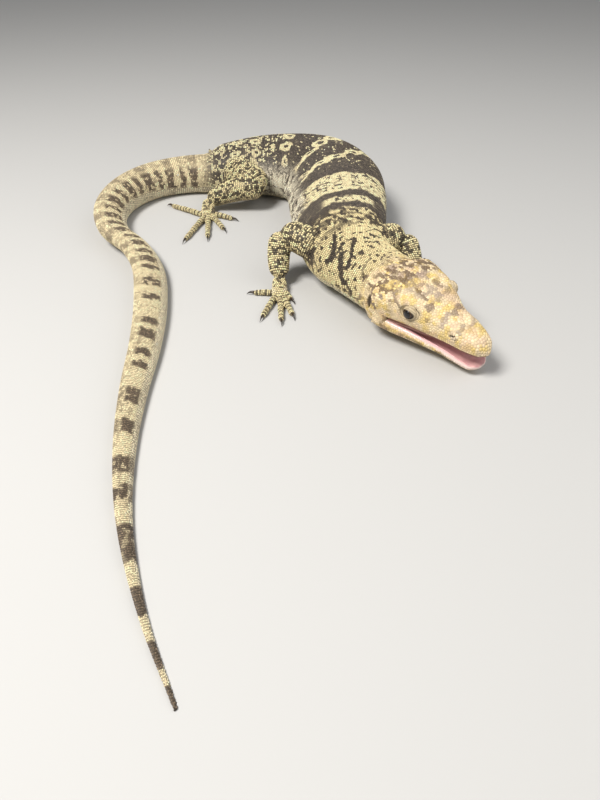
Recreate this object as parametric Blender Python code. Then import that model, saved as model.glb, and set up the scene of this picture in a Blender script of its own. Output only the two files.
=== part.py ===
"""Water monitor lizard at life size, resting on the floor in a relaxed, curved pose.

The body is one long loft from the neck to the tail tip, parted into lengths by thin gaps.
Limbs, feet, head, lower jaw and eyes are closed solids of their own that meet it face to face.
All sizes below are millimetres; MM turns them into metres where the meshes are made.
The working frame has its origin on the floor beside the snout; the finished pieces are
moved so that the origin is the middle of the footprint.
"""

import math

import bmesh
import bpy
import numpy as np
from mathutils import Matrix, Vector

MM = 0.001
GAP = 0.3                      # clearance between touching pieces

# Body sections from the nape to the tail base: centre x, y, half width, top, belly, lean.
# Lean moves the spine line towards the outside of the bend.
TRUNK = {
    "nape":       (69.5, 98.3, 28.0, 48.0, 8.0, 0.5),
    "neck":       (54.0, 121.0, 28.0, 49.5, 7.0, 1.5),
    "shoulder":   (41.0, 147.0, 33.5, 52.0, 4.0, 3.0),
    "chest":      (36.0, 175.0, 37.0, 54.0, 1.0, 5.0),
    "rib":        (35.0, 208.0, 41.0, 56.0, -1.5, 8.0),
    "belly":      (35.0, 247.0, 44.5, 57.0, -2.5, 10.0),
    "bend":       (32.0, 291.0, 46.0, 58.0, -2.5, 11.0),
    "flank":      (16.0, 329.0, 42.0, 57.5, -2.5, 11.0),
    "loin":       (-20.0, 345.0, 34.0, 55.0, -1.5, 9.0),
    "hip":        (-60.0, 345.0, 27.0, 51.0, 0.0, 7.0),
    "vent":       (-91.0, 346.0, 21.5, 45.0, 0.0, 3.0),
}
BELLY_SQUARE = 0.62            # exponent that flattens the underside
BACK_ROUND = 0.94
WIDEST = 0.42                  # height of the widest level, as a share of the section

# The tail's line on the floor, from just behind the vent to the tip.
TAIL_LINE = ((-123.0, 344.0), (-155.0, 329.0), (-177.0, 300.0), (-184.0, 260.0),
             (-172.0, 222.0), (-149.0, 195.0), (-130.0, 160.0), (-116.5, 105.0),
             (-110.0, 47.0), (-108.5, 4.0), (-104.0, -44.0), (-92.5, -99.0),
             (-72.0, -152.0), (-51.0, -191.0))
TAIL_SHARE = (0.0, 0.07, 0.155, 0.25, 0.39, 0.48, 0.60, 0.80, 1.0)       # from the tip
TAIL_HEIGHT = (1.6, 4.6, 8.8, 14.0, 21.5, 25.5, 28.5, 32.5, 38.0)
TAIL_ROLL = math.radians(62)   # the limp tail lies over on its left side
TAIL_CREST = 0.07              # height of the dorsal keel, as a share of the section

TRUNK_SEGMENTS = 26
TAIL_SEGMENTS = 16
TRUNK_STEP = 9.5               # spacing of rings along the body
TAIL_STEP = 12.0

# Head: x runs from the snout tip back to the occiput, z is up from the lip line.
HEAD_LENGTH = 95.0
HEAD_BACK = Vector((69.5, 98.3, 23.5))      # occiput on the lip plane
HEAD_HEADING = math.atan2(-72.0, 51.0)
HEAD_PITCH = math.radians(2)
HEAD_ROLL = math.radians(10)   # the animal's left side is the higher one
HEAD_SHARE = (0.0, 0.04, 0.10, 0.18, 0.28, 0.38, 0.48, 0.58, 0.70, 0.82, 0.92, 1.0)
HEAD_WIDTH = (4.2, 7.6, 10.0, 11.8, 13.6, 16.2, 19.5, 22.4, 26.4, 29.6, 30.0, 28.6)
HEAD_TOP = (4.6, 8.8, 12.0, 14.0, 15.2, 17.2, 20.8, 24.2, 26.6, 27.0, 26.2, 24.8)
HEAD_SEGMENTS = 32
MOUTH_CORNER = 0.77            # share of the head length where the lips meet
THROAT_DROP = 15.5             # depth of the throat below the lip line
GAPE = math.radians(9.5)
JAW_SHARE = (0.02, 0.06, 0.14, 0.30, 0.50, 0.70, 0.88)
JAW_DEPTH = (3.4, 5.2, 6.8, 8.4, 10.4, 13.2, 15.0)
JAW_INSET = (0.96, 1.03)       # jaw width against the upper lip, at the tip and the hinge
EYE_SHARE = 0.572
EYE_HEIGHT = 14.8
EYE_RADIUS = 5.2
EYE_SINK = 4.0                 # how far the ball's centre lies inside the cheek line
LID_REACH = (6.2, 4.2)         # half length and half height of the ring of lids
LID_RADII = (1.1, 1.5, 1.5, 1.1)
LID_STEPS = 6
LID_SINK = 1.0                 # how far the lids' corners lie inside the cheek line
LID_BULGE = 1.5                # how much further out their middles are
NOSTRIL = (0.235, 10.6, 9.6)   # share, across, up
NOSTRIL_SIZE = (2.1, 2.8, 1.5)
EAR = (0.92, 30.4, 10.5)
EAR_SIZE = (3.6, 3.2, 6.0)
BROW_HEIGHT = 2.6
NOSE_HEIGHT = 1.2
PALATE_STATIONS = (0.08, 0.14, 0.24, 0.38, 0.54, 0.66, 0.74)
PALATE_WIDTH = 0.74            # of the half head
PALATE_ARCH = 3.6
JAW_STATIONS = (0.025, 0.045, 0.08, 0.13, 0.20, 0.29, 0.39, 0.49, 0.59, 0.69, 0.78, 0.86)
FLOOR_STATIONS = (0.075, 0.13, 0.22, 0.36, 0.52, 0.64, 0.72)
FLOOR_WIDTH = 0.76             # of the half jaw
FLOOR_DEPTH = 3.2
MOUTH_CUT = 2.0                # how far the cutters of the mouth pass the lip plane

LIMB_SEGMENTS = 14
DIGIT_SEGMENTS = 6
PALM_SHARE = 0.36              # of the way from the wrist to the tips
PALM_RADII = (2.3, 2.7, 3.1)   # against a digit's radius, as are the lines below
PALM_FLAT = 0.5
DIGIT_LINE = ((0, 1.15), (0.40, 1.3), (0.75, 1.05), (1.0, 0.95))      # share along, height
CLAW_LINE = ((0.45, 1.05), (0.80, 0.70), (1.0, 0.2))
TOE_STATIONS = (0, 0.25, 0.5, 0.75, 0.94)
CLAW_STATIONS = (0.45, 0.8, 1)
DIGIT_RADII = (1.15, 1.08, 1.1, 1.0, 0.98, 0.62, 0.46, 0.28, 0.13)
SIDES = ("right", "left")

FORE_LIMB = {
    "right": {"shoulder": (17.0, 148.0, 30.0), "elbow": (-15.0, 163.0, 39.0),
              "wrist": (-17.0, 142.0, 9.0)},
    "left": {"shoulder": (60.0, 156.0, 30.0), "elbow": (86.0, 166.0, 34.5),
             "wrist": (94.0, 142.0, 9.0)},
}
HIND_LIMB = {
    "right": {"hip": (-74.0, 331.0, 28.0), "knee": (-37.0, 293.0, 26.0),
              "ankle": (-94.0, 296.0, 9.5)},
    "left": {"hip": (-74.0, 360.0, 28.0), "knee": (-40.0, 397.0, 25.0),
             "ankle": (-96.0, 394.0, 9.5)},
}
# Digit tips on the floor, from the inner to the outer digit of each foot.
FORE_TIPS = {
    "right": ((-4.0, 114.0), (-4.0, 91.0), (-14.0, 83.0), (-31.0, 89.0), (-44.0, 130.0)),
    "left": ((84.0, 113.0), (92.0, 88.0), (105.0, 84.0), (119.0, 92.0), (124.0, 128.0)),
}
HIND_TIPS = {
    "right": ((-61.0, 266.0), (-71.0, 240.0), (-87.0, 222.0), (-110.0, 217.0), (-139.0, 304.0)),
    "left": ((-64.0, 425.0), (-75.0, 451.0), (-92.0, 467.0), (-115.0, 470.0), (-141.0, 387.0)),
}

COLOURS = {
    "skin": (0.42, 0.36, 0.17),
    "skin_head": (0.62, 0.52, 0.26),
    "skin_tail": (0.66, 0.56, 0.30),
    "skin_limb": (0.36, 0.33, 0.16),
    "mouth": (0.72, 0.46, 0.46),
    "eye": (0.05, 0.03, 0.02),
}


def hermite(knots, values, at):
    """A smooth curve through values, which may be rows, read at the places given."""
    knots = np.asarray(knots, float)
    values = np.asarray(values, float)
    at = np.clip(np.atleast_1d(np.asarray(at, float)), knots[0], knots[-1])
    slope = np.gradient(values, knots, axis=0)
    i = np.clip(np.searchsorted(knots, at, side="right") - 1, 0, len(knots) - 2)
    span = knots[i + 1] - knots[i]
    u = (at - knots[i]) / span
    if values.ndim > 1:
        u, span = u[:, None], span[:, None]
    start = (1 + 2 * u) * (1 - u) ** 2 * values[i] + u * (1 - u) ** 2 * span * slope[i]
    end = u * u * (3 - 2 * u) * values[i + 1] - u * u * (1 - u) * span * slope[i + 1]
    return start + end


def smoothstep(low, high, x):
    """0 below low, 1 above high, and a soft change between."""
    u = np.clip((x - low) / (high - low), 0.0, 1.0)
    return u * u * (3 - 2 * u)


def power(x, exponent):
    """x to a power, keeping its sign."""
    return math.copysign(abs(x) ** exponent, x)


class Spine:
    """The body's line on the floor and its section at each distance from the nape."""

    def __init__(self):
        rows = list(TRUNK.values())
        points = np.array([row[:2] for row in rows] + list(TAIL_LINE))
        knots = np.concatenate([[0], np.cumsum(np.linalg.norm(np.diff(points, axis=0), axis=1))])
        fine = np.linspace(0, knots[-1], 1200)
        line = hermite(knots, points, fine)
        along = np.linalg.norm(np.diff(line, axis=0), axis=1)
        self.distance = np.concatenate([[0], np.cumsum(along)])
        self.line = line
        self.length = self.distance[-1]
        self.station = dict(zip(TRUNK, np.interp(knots[:len(rows)], fine, self.distance)))
        self.trunk_knots = np.array(list(self.station.values()))
        self.trunk_sizes = np.array([row[2:] for row in rows])
        self.tail_start = self.station["vent"]

    def place(self, s):
        """Centre, and the unit vector to the animal's left, at distance s."""
        centre = np.array([np.interp(s, self.distance, self.line[:, k]) for k in (0, 1)])
        reach = 3.0
        ends = [np.array([np.interp(s + d, self.distance, self.line[:, k]) for k in (0, 1)])
                for d in (-reach, reach)]
        ahead = ends[0] - ends[1]
        ahead /= np.linalg.norm(ahead)
        return centre, np.array([-ahead[1], ahead[0]])

    def trunk_ring(self, s, grow, count):
        half, top, belly, lean = hermite(self.trunk_knots, self.trunk_sizes, s)[0]
        centre, left = self.place(s)
        middle = belly + (top - belly) * WIDEST
        ring = []
        for k in range(count):
            angle = 2 * math.pi * k / count
            c, n = math.cos(angle), math.sin(angle)
            if n >= 0:
                across = (half + grow) * power(c, BACK_ROUND) + lean * n
                z = middle + (top - middle + grow) * n
            else:
                across = (half + grow) * power(c, BELLY_SQUARE + 0.2)
                z = middle + (middle - belly + grow) * power(n, BELLY_SQUARE + 0.2)
            ring.append((*(centre + left * across), max(z, 0.0 if grow == 0 else -1.0)))
        return ring

    def tail_ring(self, s, grow, count):
        centre, left = self.place(s)
        share = np.clip((self.length - s) / (self.length - self.tail_start), 0, 1)
        height = float(hermite(TAIL_SHARE, TAIL_HEIGHT, share)[0])
        narrow = 0.60 + 0.44 * smoothstep(0.62, 1.0, share)
        high, wide = height / 2, height / 2 * narrow
        roll = TAIL_ROLL * (1 - smoothstep(0.66, 0.98, share))
        reach = math.hypot(high * math.cos(roll), wide * math.sin(roll))
        lift = reach * 0.95
        ring = []
        for k in range(count):
            angle = 2 * math.pi * k / count
            crest = 1 + TAIL_CREST * max(math.sin(angle), 0.0) ** 8
            across = (wide + grow) * math.cos(angle)
            up = (high * crest + grow) * math.sin(angle)
            turned = (across * math.cos(roll) + up * math.sin(roll),
                      up * math.cos(roll) - across * math.sin(roll))
            ring.append((*(centre + left * turned[0]), max(lift + turned[1], 0.0 if grow == 0 else -1.0)))
        return ring

    def ring(self, s, grow=0.0, count=TRUNK_SEGMENTS):
        """The section at distance s; behind the vent the trunk's form turns into the tail's."""
        blend = float(smoothstep(self.tail_start - 10, self.tail_start + 12, s))
        trunk = np.array(self.trunk_ring(min(s, self.tail_start), grow, count))
        if s > self.tail_start:
            centre, left = self.place(s)
            base, base_left = self.place(self.tail_start)
            flat = (trunk[:, :2] - base) @ base_left
            trunk[:, :2] = centre + flat[:, None] * left
        if blend <= 0:
            return trunk
        tail = np.array(self.tail_ring(s, grow, count))
        return trunk * (1 - blend) + tail * blend


def head_matrix():
    """Takes head coordinates (forward from the occiput, left, up) to the working frame."""
    turn = Matrix.Rotation(HEAD_HEADING, 4, "Z") @ Matrix.Rotation(HEAD_PITCH, 4, "Y")
    return Matrix.Translation(HEAD_BACK) @ turn @ Matrix.Rotation(HEAD_ROLL, 4, "X")


def head_point(share, across, up, gape=0.0):
    """A point of the head, by its share of the length from the snout tip."""
    forward = HEAD_LENGTH * (1 - share)
    if gape:
        hinge = HEAD_LENGTH * (1 - MOUTH_CORNER)
        ahead = forward - hinge
        forward = hinge + ahead * math.cos(gape) + up * math.sin(gape)
        up = up * math.cos(gape) - ahead * math.sin(gape)
    return head_matrix() @ Vector((forward, across, up))


def brow_bump(share, across, half):
    """Height of the rounded shelf above each eye."""
    along = math.exp(-((share - EYE_SHARE - 0.02) / 0.10) ** 2)
    side = math.exp(-((abs(across) / half - 0.78) / 0.26) ** 2)
    return BROW_HEIGHT * along * side


def nose_bump(share, across, half):
    """Height of the swelling over each nostril."""
    along = math.exp(-((share - NOSTRIL[0]) / 0.07) ** 2)
    side = math.exp(-((abs(across) / half - 0.60) / 0.35) ** 2)
    return NOSE_HEIGHT * along * side


def head_ring(share, grow=0.0, floor=0.0, count=HEAD_SEGMENTS):
    """One section of the skull, from the flat lip plane at floor up to the crown."""
    half = float(hermite(HEAD_SHARE, HEAD_WIDTH, share)[0]) + grow
    top = float(hermite(HEAD_SHARE, HEAD_TOP, share)[0]) + grow
    side = 0.36 * top
    ring = []
    for k in range(count):
        angle = 2 * math.pi * k / count
        c, n = math.cos(angle), math.sin(angle)
        if n >= 0:
            across = half * power(c, 0.80)
            up = side + (top - side) * power(n, 0.82)
            up += brow_bump(share, across, half) + nose_bump(share, across, half)
        else:
            across = half * power(c, 0.50) * (1 - 0.05 * abs(n))
            up = side + (side - floor + grow) * power(n, 0.60)
        ring.append(head_point(share, across, up))
    return ring


def jaw_half(share):
    """Half the width of the lower jaw."""
    inset = JAW_INSET[0] + (JAW_INSET[1] - JAW_INSET[0]) * float(smoothstep(0.1, 0.7, share))
    return float(hermite(HEAD_SHARE, HEAD_WIDTH, share)[0]) * inset


def jaw_ring(share, count=24):
    """One section of the lower jaw, hanging from its flat rim."""
    half = jaw_half(share)
    depth = float(hermite(JAW_SHARE, JAW_DEPTH, share)[0])
    ring = []
    for k in range(count):
        angle = 2 * math.pi * k / count
        c, n = math.cos(angle), math.sin(angle)
        across = half * power(c, 0.62 if n > 0 else 0.85)
        up = 0.30 * depth * (power(n, 0.5) - 1) if n > 0 else depth * (0.70 * power(n, 0.9) - 0.30)
        ring.append(head_point(share, across, up, GAPE))
    return ring


def mesh_object(name, vertices, faces, material=None):
    """A mesh object from points in millimetres, welded and with its faces pointing out."""
    mesh = bpy.data.meshes.new(name)
    mesh.from_pydata([Vector(v) * MM for v in vertices], [], faces)
    shape = bmesh.new()
    shape.from_mesh(mesh)
    bmesh.ops.remove_doubles(shape, verts=shape.verts, dist=1e-7)
    bmesh.ops.recalc_face_normals(shape, faces=shape.faces)
    shape.to_mesh(mesh)
    shape.free()
    mesh.shade_smooth()
    made = bpy.data.objects.new(name, mesh)
    bpy.context.scene.collection.objects.link(made)
    if material:
        mesh.materials.append(material)
    return made


def loft(name, rings, material=None):
    """A closed solid through rings of equal count, with a flat cap at each end."""
    count = len(rings[0])
    vertices = [v for ring in rings for v in ring]
    faces = [tuple(range(count))]
    for r in range(len(rings) - 1):
        for k in range(count):
            a, b = r * count + k, r * count + (k + 1) % count
            faces.append((a, b, b + count, a + count))
    last = (len(rings) - 1) * count
    faces.append(tuple(range(last, last + count)))
    return mesh_object(name, vertices, faces, material)


def tube_rings(points, radii, sides, flat=1.0, spacing=5.0, round_start=False, round_end=True, floor=True):
    """Rings along a smooth line through points; flat is the height against the width."""
    points = np.array(points, float)
    knots = np.concatenate([[0], np.cumsum(np.linalg.norm(np.diff(points, axis=0), axis=1))])
    radius_knots = np.linspace(0, knots[-1], len(radii))
    steps = max(3, int(round(knots[-1] / spacing)) + 1)
    where = list(np.linspace(0, knots[-1], steps))
    shrink = [1.0] * len(where)
    if round_end:
        tip = float(radii[-1])
        where[-1:] = [knots[-1] - tip * k for k in (0.62, 0.25, 0.0)]
        shrink[-1:] = [0.93, 0.68, 0.22]
    if round_start:
        tip = float(radii[0])
        where[:1] = [tip * k for k in (0.0, 0.25, 0.62)]
        shrink[:1] = [0.22, 0.68, 0.93]
    order = np.argsort(where, kind="stable")
    where = np.array(where)[order]
    shrink = np.array(shrink)[order]
    centres = hermite(knots, points, where)
    before = hermite(knots, points, np.clip(where - 0.5, 0, knots[-1]))
    after = hermite(knots, points, np.clip(where + 0.5, 0, knots[-1]))
    size = hermite(radius_knots, radii, where) * shrink
    rings = []
    for centre, lead, radius in zip(centres, after - before, size):
        lead = Vector(lead).normalized()
        side = lead.cross(Vector((0, 0, 1)))
        if side.length < 0.2:
            side = lead.cross(Vector((0, 1, 0)))
        side.normalize()
        up = side.cross(lead)
        ring = []
        for k in range(sides):
            angle = 2 * math.pi * (k + 0.5) / sides
            p = Vector(centre) + side * radius * math.cos(angle) + up * radius * flat * math.sin(angle)
            if floor:
                p.z = max(p.z, 0.0)
            ring.append(p)
        rings.append(ring)
    return rings


def bake(piece):
    """Applies a piece's modifiers."""
    graph = bpy.context.evaluated_depsgraph_get()
    mesh = bpy.data.meshes.new_from_object(piece.evaluated_get(graph))
    piece.modifiers.clear()
    piece.data = mesh
    piece.data.name = piece.name


def drop(piece):
    bpy.data.objects.remove(piece, do_unlink=True)


def keep_largest(piece):
    """Leaves only the largest closed surface of a piece."""
    shape = bmesh.new()
    shape.from_mesh(piece.data)
    bmesh.ops.remove_doubles(shape, verts=shape.verts, dist=2e-6)
    unseen = set(shape.faces)
    groups = []
    while unseen:
        stack = [unseen.pop()]
        group = list(stack)
        while stack:
            for edge in stack.pop().edges:
                for face in edge.link_faces:
                    if face in unseen:
                        unseen.discard(face)
                        stack.append(face)
                        group.append(face)
        groups.append(group)
    groups.sort(key=lambda g: sum(f.calc_area() for f in g), reverse=True)
    for group in groups[1:]:
        bmesh.ops.delete(shape, geom=group, context="FACES")
    loose = [v for v in shape.verts if not v.link_faces]
    bmesh.ops.delete(shape, geom=loose, context="VERTS")
    shape.to_mesh(piece.data)
    shape.free()


def combine(piece, others, operation):
    """Joins others to a piece, or cuts them from it, and removes them."""
    group = bpy.data.collections.new("operands")
    bpy.context.scene.collection.children.link(group)
    for other in others:
        bpy.context.scene.collection.objects.unlink(other)
        group.objects.link(other)
    change = piece.modifiers.new("combine", "BOOLEAN")
    change.operation = operation
    change.solver = "EXACT"
    change.operand_type = "COLLECTION"
    change.collection = group
    bake(piece)
    for other in others:
        drop(other)
    bpy.data.collections.remove(group)
    keep_largest(piece)


def material(name):
    """A plain finish in the part's own colour."""
    made = bpy.data.materials.new(name)
    made.use_nodes = True
    surface = made.node_tree.nodes["Principled BSDF"]
    surface.inputs["Base Color"].default_value = (*COLOURS[name], 1)
    surface.inputs["Roughness"].default_value = 0.15 if name == "eye" else 0.5
    return made


def trunk_steps(start, end, step):
    """Places of the rings between two distances along the body."""
    count = max(2, int(math.ceil((end - start) / step)) + 1)
    return np.linspace(start, end, count)


def body_node(spine, name, start, end, step, count, finish):
    """One length of the body between two planes, less half the gap at each."""
    places = trunk_steps(start + GAP / 2, end - GAP / 2, step)
    return loft(name, [spine.ring(s, 0.0, count) for s in places], finish)


def body_cutter(spine, start, end):
    """The body grown by the gap, to trim what meets it."""
    places = trunk_steps(start, end, TRUNK_STEP)
    return loft("body_cutter", [spine.ring(s, GAP, TRUNK_SEGMENTS) for s in places])


def make_body(spine, finish):
    """Neck, trunk and tail as separate lengths."""
    at = spine.station
    cuts = {
        "neck": (0.0, at["shoulder"] - 8.0),
        "chest": (at["shoulder"] - 8.0, at["rib"]),
        "belly": (at["rib"], at["flank"] - 14.0),
        "loin": (at["flank"] - 14.0, at["loin"] + 8.0),
        "pelvis": (at["loin"] + 8.0, at["vent"] + 6.0),
    }
    for name, (start, end) in cuts.items():
        body_node(spine, name, start, end, TRUNK_STEP, TRUNK_SEGMENTS, finish["skin"])
    tail_from = at["vent"] + 6.0
    lengths = 6
    edges = np.linspace(tail_from, spine.length, lengths + 1)
    for k in range(lengths):
        body_node(spine, f"tail_{k + 1}", edges[k], edges[k + 1], TAIL_STEP,
                  TRUNK_SEGMENTS if k == 0 else TAIL_SEGMENTS, finish["skin_tail"])


def skull_rings(grow=0.0):
    """Sections of the skull and upper jaw; the last one is the neck's own front."""
    shares = [0.0, 0.015, 0.045, 0.09, 0.14, 0.19, 0.24, 0.30, 0.37, 0.44, 0.50, 0.54, 0.58, 0.62,
              0.67, 0.73, 0.80, 0.88]
    return [head_ring(share, grow) for share in shares]


def head_back(spine, grow=0.0):
    """The back of the head below and behind the mouth corner, ending at the neck."""
    front, back = MOUTH_CORNER + 0.005, 0.93
    first = spine.ring(0.0, grow, HEAD_SEGMENTS)
    centre, left = spine.place(0.0)
    ahead = np.array([left[1], -left[0]])
    rings = []
    for share in np.linspace(front, back, 4):
        half = float(hermite(HEAD_SHARE, HEAD_WIDTH, share)[0]) + grow
        top = float(hermite(HEAD_SHARE, HEAD_TOP, share)[0]) + grow
        ring = []
        for k in range(HEAD_SEGMENTS):
            angle = 2 * math.pi * k / HEAD_SEGMENTS
            c, n = math.cos(angle), math.sin(angle)
            across = half * power(c, 0.86)
            up = top * power(n, 0.82) if n > 0 else (THROAT_DROP + grow) * power(n, 0.86)
            ring.append(head_point(share, across, up))
        rings.append(ring)
    end = [(p[0] + ahead[0] * GAP / 2, p[1] + ahead[1] * GAP / 2, p[2]) for p in first]
    rings.append(end)
    return rings


def eye_centre(side):
    """Middle of an eyeball; side is +1 on the animal's left."""
    half = float(hermite(HEAD_SHARE, HEAD_WIDTH, EYE_SHARE)[0])
    return head_point(EYE_SHARE, side * (half - EYE_SINK), EYE_HEIGHT)


def ball(name, centre, radius, material=None, segments=16, stretch=(1, 1, 1), turn=None):
    """A closed ball or ellipsoid from rings, its poles along its own z."""
    rings = []
    bands = segments // 2
    for j in range(1, bands):
        tilt = math.pi * j / bands
        ring = []
        for k in range(segments):
            angle = 2 * math.pi * k / segments
            p = Vector((math.sin(tilt) * math.cos(angle) * stretch[0],
                        math.sin(tilt) * math.sin(angle) * stretch[1],
                        math.cos(tilt) * stretch[2])) * radius
            ring.append(centre + (turn @ p if turn else p))
        rings.append(ring)
    vertices = [v for ring in rings for v in ring]
    poles = [Vector((0, 0, radius * stretch[2])), Vector((0, 0, -radius * stretch[2]))]
    vertices += [centre + (turn @ p if turn else p) for p in poles]
    north, south = len(vertices) - 2, len(vertices) - 1
    faces = []
    for k in range(segments):
        nxt = (k + 1) % segments
        faces.append((north, k, nxt))
        base = (bands - 2) * segments
        faces.append((south, base + nxt, base + k))
        for j in range(bands - 2):
            a, b = j * segments + k, j * segments + nxt
            faces.append((a, b, b + segments, a + segments))
    return mesh_object(name, vertices, faces, material)


def head_turn():
    """Turns directions of the head's own axes into the working frame."""
    return head_matrix().to_3x3()


def lid(side, sign):
    """One eyelid as a bent roll; sign is +1 for the upper one."""
    half = float(hermite(HEAD_SHARE, HEAD_WIDTH, EYE_SHARE)[0])
    path = []
    for k in range(LID_STEPS + 1):
        angle = math.pi * k / LID_STEPS
        along = LID_REACH[0] * math.cos(angle)
        height = sign * LID_REACH[1] * math.sin(angle)
        out = half - LID_SINK + LID_BULGE * math.sin(angle)
        path.append(head_point(EYE_SHARE - along / HEAD_LENGTH, side * out, EYE_HEIGHT + height))
    return loft("lid", tube_rings(path, LID_RADII, 6, spacing=3.0, round_start=True, floor=False))


def arch(share, half, height, gape=0.0):
    """A half round section over the lip plane, or under it where the height is negative."""
    ring = []
    for k in range(7):
        angle = math.pi * k / 6
        ring.append(head_point(share, half * math.cos(angle), height * math.sin(angle), gape))
    past = -math.copysign(MOUTH_CUT, height)
    return ring + [head_point(share, -half, past, gape), head_point(share, half, past, gape)]


def palate():
    """The hollow roof of the mouth."""
    rings = []
    for share in PALATE_STATIONS:
        half = float(hermite(HEAD_SHARE, HEAD_WIDTH, share)[0]) * PALATE_WIDTH
        height = PALATE_ARCH * math.sin(math.pi * min(1, (share - 0.02) / 0.30) / 2)
        rings.append(arch(share, half, height))
    return loft("palate", rings)


def mouth_floor():
    """The hollow between the sides of the lower jaw."""
    rings = [arch(share, jaw_half(share) * FLOOR_WIDTH, -FLOOR_DEPTH, GAPE) for share in FLOOR_STATIONS]
    return loft("mouth_floor", rings)


def make_head(spine, finish):
    """Skull with upper jaw, brows, lids, nostrils and ear cups; lower jaw; eyes."""
    head = loft("head", skull_rings(), finish["skin_head"])
    lids = [lid(side, sign) for side in (1, -1) for sign in (1, -1)]
    combine(head, [loft("head_back", head_back(spine))] + lids, "UNION")
    turn = head_turn()
    cutters = [palate()]
    for side in (1, -1):
        cutters.append(ball("socket", eye_centre(side), EYE_RADIUS + GAP))
        nostril = head_point(NOSTRIL[0], side * NOSTRIL[1], NOSTRIL[2])
        cutters.append(ball("nostril", nostril, 1.0, segments=8, stretch=NOSTRIL_SIZE, turn=turn))
        ear = head_point(EAR[0], side * EAR[1], EAR[2])
        cutters.append(ball("ear", ear, 1.0, segments=12, stretch=EAR_SIZE, turn=turn))
    combine(head, cutters, "DIFFERENCE")

    jaw = loft("lower_jaw", [jaw_ring(share) for share in JAW_STATIONS], finish["mouth"])
    combine(jaw, [mouth_floor(), loft("skull_cutter", skull_rings(GAP)),
                  loft("back_cutter", head_back(spine, GAP))], "DIFFERENCE")
    for side, word in ((1, "left"), (-1, "right")):
        ball(f"eye_{word}", eye_centre(side), EYE_RADIUS, finish["eye"])


def limb_tubes(path, radii, grow=0.0, spacing=6.0):
    return tube_rings(path, [r + grow for r in radii], LIMB_SEGMENTS, spacing=spacing,
                      round_start=True, floor=grow == 0)


def bent(a, b, lift):
    """Start, a middle raised by lift, and end."""
    a, b = np.array(a), np.array(b)
    middle = (a + b) / 2 + np.array(lift)
    return [tuple(a), tuple(middle), tuple(b)]


def foot_pieces(wrist, tips, thick, claw):
    """Palm and five digits with claws, flat on the floor; thick is a digit's radius."""
    wrist = Vector(wrist)
    middle = sum((Vector((*tip, 0)) for tip in tips[1:4]), Vector()) / 3
    ahead = Vector((middle.x - wrist.x, middle.y - wrist.y, 0))
    reach = ahead.length
    ahead.normalize()
    across = Vector((-ahead.y, ahead.x, 0))
    knuckle = wrist + ahead * reach * PALM_SHARE
    palm_path = [wrist - ahead * thick * 0.8, wrist + ahead * reach * PALM_SHARE * 0.45, knuckle]
    palm_path = [(p.x, p.y, z) for p, z in zip(palm_path, (wrist.z, wrist.z * 0.72, thick * 1.15))]
    radii = [thick * share for share in PALM_RADII]
    pieces = [loft("palm", tube_rings(palm_path, radii, 12, flat=PALM_FLAT, spacing=5.0, round_start=True))]
    for tip in tips:
        end = Vector((*tip, 0))
        out = end - knuckle
        out.z = 0
        side = max(-1, min(1, (out.normalized() @ across)))
        root = knuckle + across * side * thick * 2.6 - ahead * thick * (0.6 + 2.0 * abs(side))
        run = end - root
        run.z = 0
        length = run.length
        run.normalize()
        path = []
        for share, height in DIGIT_LINE:
            p = root + run * (length - claw) * share
            path.append((p.x, p.y, height * thick))
        for share, height in CLAW_LINE:
            p = root + run * (length - claw + claw * share)
            path.append((p.x, p.y, height * thick))
        pieces.append(digit(path, thick))
    return pieces


def digit(path, thick):
    """A toe that narrows at once into its curved claw."""
    points = np.array(path)
    knots = np.concatenate([[0], np.cumsum(np.linalg.norm(np.diff(points, axis=0), axis=1))])
    end, toe = knots[-1], knots[len(DIGIT_LINE) - 1]
    where = [toe * share for share in TOE_STATIONS] + [toe + 0.6]
    where += [toe + (end - toe) * share for share in CLAW_STATIONS]
    centres = hermite(knots, points, where)
    rings = []
    for k, (centre, share) in enumerate(zip(centres, DIGIT_RADII)):
        lead = Vector(centres[min(k + 1, len(centres) - 1)] - centres[max(k - 1, 0)]).normalized()
        side = lead.cross(Vector((0, 0, 1))).normalized()
        up = side.cross(lead)
        ring = []
        for j in range(DIGIT_SEGMENTS):
            angle = 2 * math.pi * (j + 0.5) / DIGIT_SEGMENTS
            p = Vector(centre) + (side * math.cos(angle) + up * math.sin(angle)) * thick * share
            p.z = max(p.z, 0.0)
            ring.append(p)
        rings.append(ring)
    return loft("digit", rings)


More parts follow.
